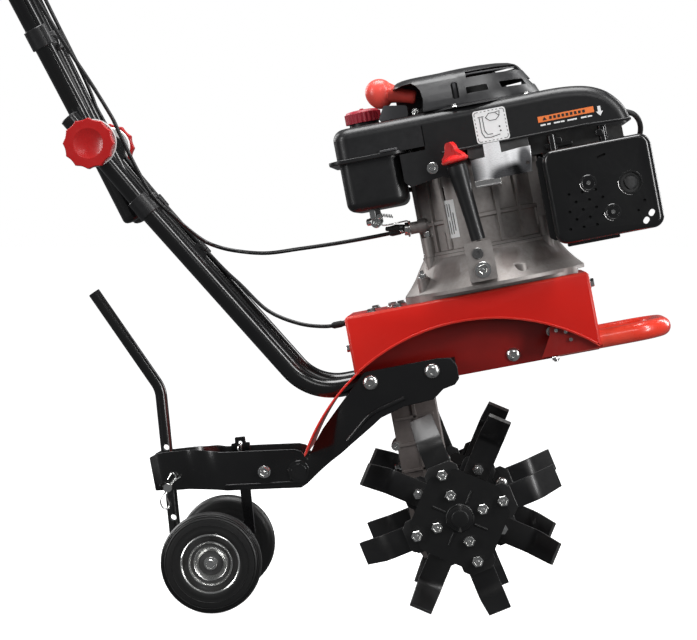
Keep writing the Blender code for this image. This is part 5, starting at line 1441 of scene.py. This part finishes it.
CLUTCH_LOWER = (
    (-156, 14, 371), (-184, 26, 366), (-222, 38, 370), (-264, 50, 387), (-301, 60, 421),
    (-326, 62.5, 444), (-366, 62, 487), (-406, 62, 532), (-444, 63, 576), (-463, 65, 600),
)
CLUTCH_UPPER = (
    (-500, 65, 665), (-507, 63, 684), (-521, 60, 716), (-562, 68, 796),
    (-602, 80, 876), (-622, 100, 904), (-640, 150, 927), (-655, 186, 940), (-667, 200, 943),
)
THROTTLE_LOWER = (
    (-456, -75, 640), (-443, -76, 612), (-425, -74, 575), (-405, -70, 541), (-378, -48, 512),
    (-352, 2, 486), (-334, 30, 475), (-306, 34, 468), (-263, 14, 465), (-216, -8, 471),
    (-162, -24, 479), (-112, -36, 488), (-75, -40, 496),
)
THROTTLE_UPPER = (
    (-480, -77, 680), (-491, -78, 697), (-518, -80, 738), (-556, -84, 800), (-598, -92, 872),
    (-618, -112, 916), (-636, -152, 950), (-655, -194, 990),
)


def bridge(name, low, high, radius):
    """The length of cable at the fold, curving from the lower route into the upper one."""
    below = [Vector(p) for p in low]
    above = [Vector(p) for p in high]
    route = smooth_route([below[1], below[0], above[0], above[1]], 14)[14:29]
    made = mesh_object(name, swept(route, radius, 16), GROUND)
    made.data.materials.append(CABLE)
    made.data.shade_smooth()
    made.data.set_sharp_from_angle(angle=math.radians(50))
    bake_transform(made)


def make_cables():
    routes = (CLUTCH_LOWER, CLUTCH_UPPER, THROTTLE_LOWER, THROTTLE_UPPER)
    clutch_low, clutch_high, throttle_low, throttle_high = [smooth_route(route, 8) for route in routes]
    for name, route, body, stands in (
        ("clutch_sheath_low", clutch_low, "chassis", "clutch_cable_lower"),
        ("clutch_sheath_high", clutch_high, "upper_handlebar", "clutch_cable_upper"),
        ("throttle_sheath_low", throttle_low, "chassis", "throttle_cable_lower"),
        ("throttle_sheath_high", throttle_high, "upper_handlebar", "throttle_cable_upper"),
    ):
        piece(name, swept(route, 2.6, 18), CABLE, body, GROUND, stands_for=stands, sharp=50)
    bridge("clutch_bend", CLUTCH_LOWER[:-3:-1], CLUTCH_UPPER[:2], 2.55)
    bridge("throttle_bend", THROTTLE_LOWER[:2], THROTTLE_UPPER[:2], 2.55)
    # metal ferrules where the sheaths end and rubber boots on them
    ferrules, boots = [], []
    for end, before in ((clutch_low[0], clutch_low[2]), (throttle_low[-1], throttle_low[-3])):
        way = (end - before).normalized()
        profile = [(0, -20), (3.4, -20), (4.6, -17), (4.6, -6), (3.9, -5), (3.9, 0), (3.0, 1), (0, 1)]
        boots.append(turned(profile, end, way, 24))
        ferrules.append(turned([(0, 1), (2.6, 1), (2.6, 6), (1.1, 7), (1.1, 16), (0, 16)], end, way, 20))
    piece("cable_boots", boots, RUBBER, "chassis", GROUND)
    piece("cable_ferrules", ferrules, ZINC, "chassis", GROUND)
    # clips that hold the cables to the tubes
    left, right = tube_path(1), tube_path(-1)
    bands = []
    for tube, centre, outer, wide in ((left, (-357, 72, 468), 15.4, 21), (left, (-414, 72, 532), 14.6, 20),
                                      (right, (-416, -72, 528), 14.9, 28)):
        spot, way = nearest(tube, centre)
        bands.append(ring_on(spot, way, 12.4, outer, wide))
    # the bands are open towards the folding tubes
    gap = block((-600, -250), (-59.6, 59.6), (300, 800))
    piece("cable_clips", bands, PLASTIC, "chassis", GROUND, cuts=[gap])
    tails = []
    for (centre, route, tube) in (((-357, 72, 468), clutch_low, left), ((-414, 72, 532), clutch_low, left),
                                  ((-418, -72, 530), throttle_low, right)):
        spot, way = nearest(tube, centre)
        held, along = nearest(route, tuple(spot))
        tails.append(ring_on(held, along, 2.5, 4.4, 9, 20))
        tails.append(rod(tuple(spot.lerp(held, 0.3)), tuple(spot.lerp(held, 0.9)), 3.2, 16, 0.6))
    piece("clip_tails", tails, PLASTIC, "chassis", GROUND)


def nearest(path, at):
    """The point of a path nearest to a spot, and the path's direction there."""
    target = Vector(at)
    best = None
    for a, b in zip(path, path[1:]):
        way = b - a
        if way.length < 1e-6:
            continue
        share = max(0, min(1, (target - a).dot(way) / way.length_squared))
        spot = a.lerp(b, share)
        gap = (spot - target).length
        if best is None or gap < best[0]:
            best = (gap, spot, way.normalized())
    return best[1], best[2]


# ---------------------------------------------------------------- stage, light and camera


def make_stage():
    scene = bpy.context.scene
    scene.view_settings.view_transform = "Standard"
    world = bpy.data.worlds.new("studio")
    scene.world = world
    world.use_nodes = True
    tree = world.node_tree
    tree.nodes.clear()
    out = node(tree, "ShaderNodeOutputWorld")
    back = node(tree, "ShaderNodeBackground", Strength=1.0)
    back.inputs["Color"].default_value = (1, 1, 1, 1)
    dim = node(tree, "ShaderNodeBackground", Strength=0.14)
    dim.inputs["Color"].default_value = (0.95, 0.97, 1, 1)
    choose = node(tree, "ShaderNodeMixShader")
    tree.links.new(node(tree, "ShaderNodeLightPath").outputs["Is Camera Ray"], choose.inputs[0])
    tree.links.new(dim.outputs[0], choose.inputs[1])
    tree.links.new(back.outputs[0], choose.inputs[2])
    tree.links.new(choose.outputs[0], out.inputs["Surface"])

    # one pale floor
    floor = bmesh.new()
    bmesh.ops.create_grid(floor, x_segments=40, y_segments=40, size=60)
    made = bpy.data.meshes.new("floor")
    floor.to_mesh(made)
    floor.free()
    ground = bpy.data.objects.new("floor", made)
    scene.collection.objects.link(ground)
    surface = bpy.data.materials.new("floor_white")
    surface.use_nodes = True
    tree = surface.node_tree
    shader = tree.nodes["Principled BSDF"]
    shader.inputs["Base Color"].default_value = (0.6, 0.6, 0.6, 1)
    shader.inputs["Roughness"].default_value = 0.9
    shader.inputs["Specular IOR Level"].default_value = 0.0
    shader.inputs["Emission Color"].default_value = (1, 1, 1, 1)
    shader.inputs["Emission Strength"].default_value = 0.96
    ground.data.materials.append(surface)
    ground.visible_diffuse = ground.visible_glossy = False


def area(name, at, aim, size, power, tint=(1, 1, 1)):
    lamp = bpy.data.lights.new(name, "AREA")
    lamp.shape = "RECTANGLE"
    lamp.size, lamp.size_y = size
    lamp.energy = power
    lamp.color = tint
    made = bpy.data.objects.new(name, lamp)
    bpy.context.scene.collection.objects.link(made)
    made.location = at
    way = Vector(aim) - Vector(at)
    made.rotation_euler = way.to_track_quat("-Z", "Y").to_euler()
    return made


def make_lights():
    area("overhead", (0.0, -0.05, 2.4), (0.0, 0.0, 0.4), (1.6, 1.1), 56)
    area("left_box", (-2.3, -1.7, 1.2), (0.05, 0.0, 0.4), (0.45, 1.9), 30)
    area("right_box", (2.3, -1.6, 2.1), (0.0, 0.0, 0.5), (0.34, 2.2), 44)
    area("right_low", (2.3, -1.6, 0.7), (0.15, 0.0, 0.4), (0.4, 1.0), 18)
    area("front_fill", (0.7, -3.3, 2.4), (0.1, 0.0, 0.3), (1.3, 0.8), 12)
    area("back_left", (-1.9, 1.7, 1.4), (0.0, 0.0, 0.4), (0.5, 1.8), 28)
    area("back_right", (2.0, 1.6, 1.4), (0.1, 0.0, 0.4), (0.5, 1.8), 24)


def make_camera():
    """A long lens on the machine's right, turned and tipped a little from square-on."""
    yaw, pitch = math.radians(2.875504), math.radians(2.03192)
    lens = bpy.data.cameras.new("photo_view")
    lens.sensor_width = 36
    lens.lens = 135.219512
    made = bpy.data.objects.new("photo_view", lens)
    bpy.context.scene.collection.objects.link(made)
    made.location = (0.2858, -3.5, 0.5 + FLOOR_DROP * MM)
    made.rotation_euler = (math.radians(90) - pitch, 0, yaw)
    bpy.context.scene.camera = made


make_deck()
make_hitch()
make_stake_and_wheels()
make_gearbox()
make_tines()
make_castings()
make_housing()
make_dome()
make_tank()
make_starter_handle()
make_oil_filler()
make_muffler()
make_shield()
make_labels()
make_linkage()
make_intake()
make_deck_top_bolts()
grip_start, grip_way = make_handlebar()
make_levers(grip_start, grip_way)
make_knobs()
make_cables()
make_stage()
make_lights()
make_camera()
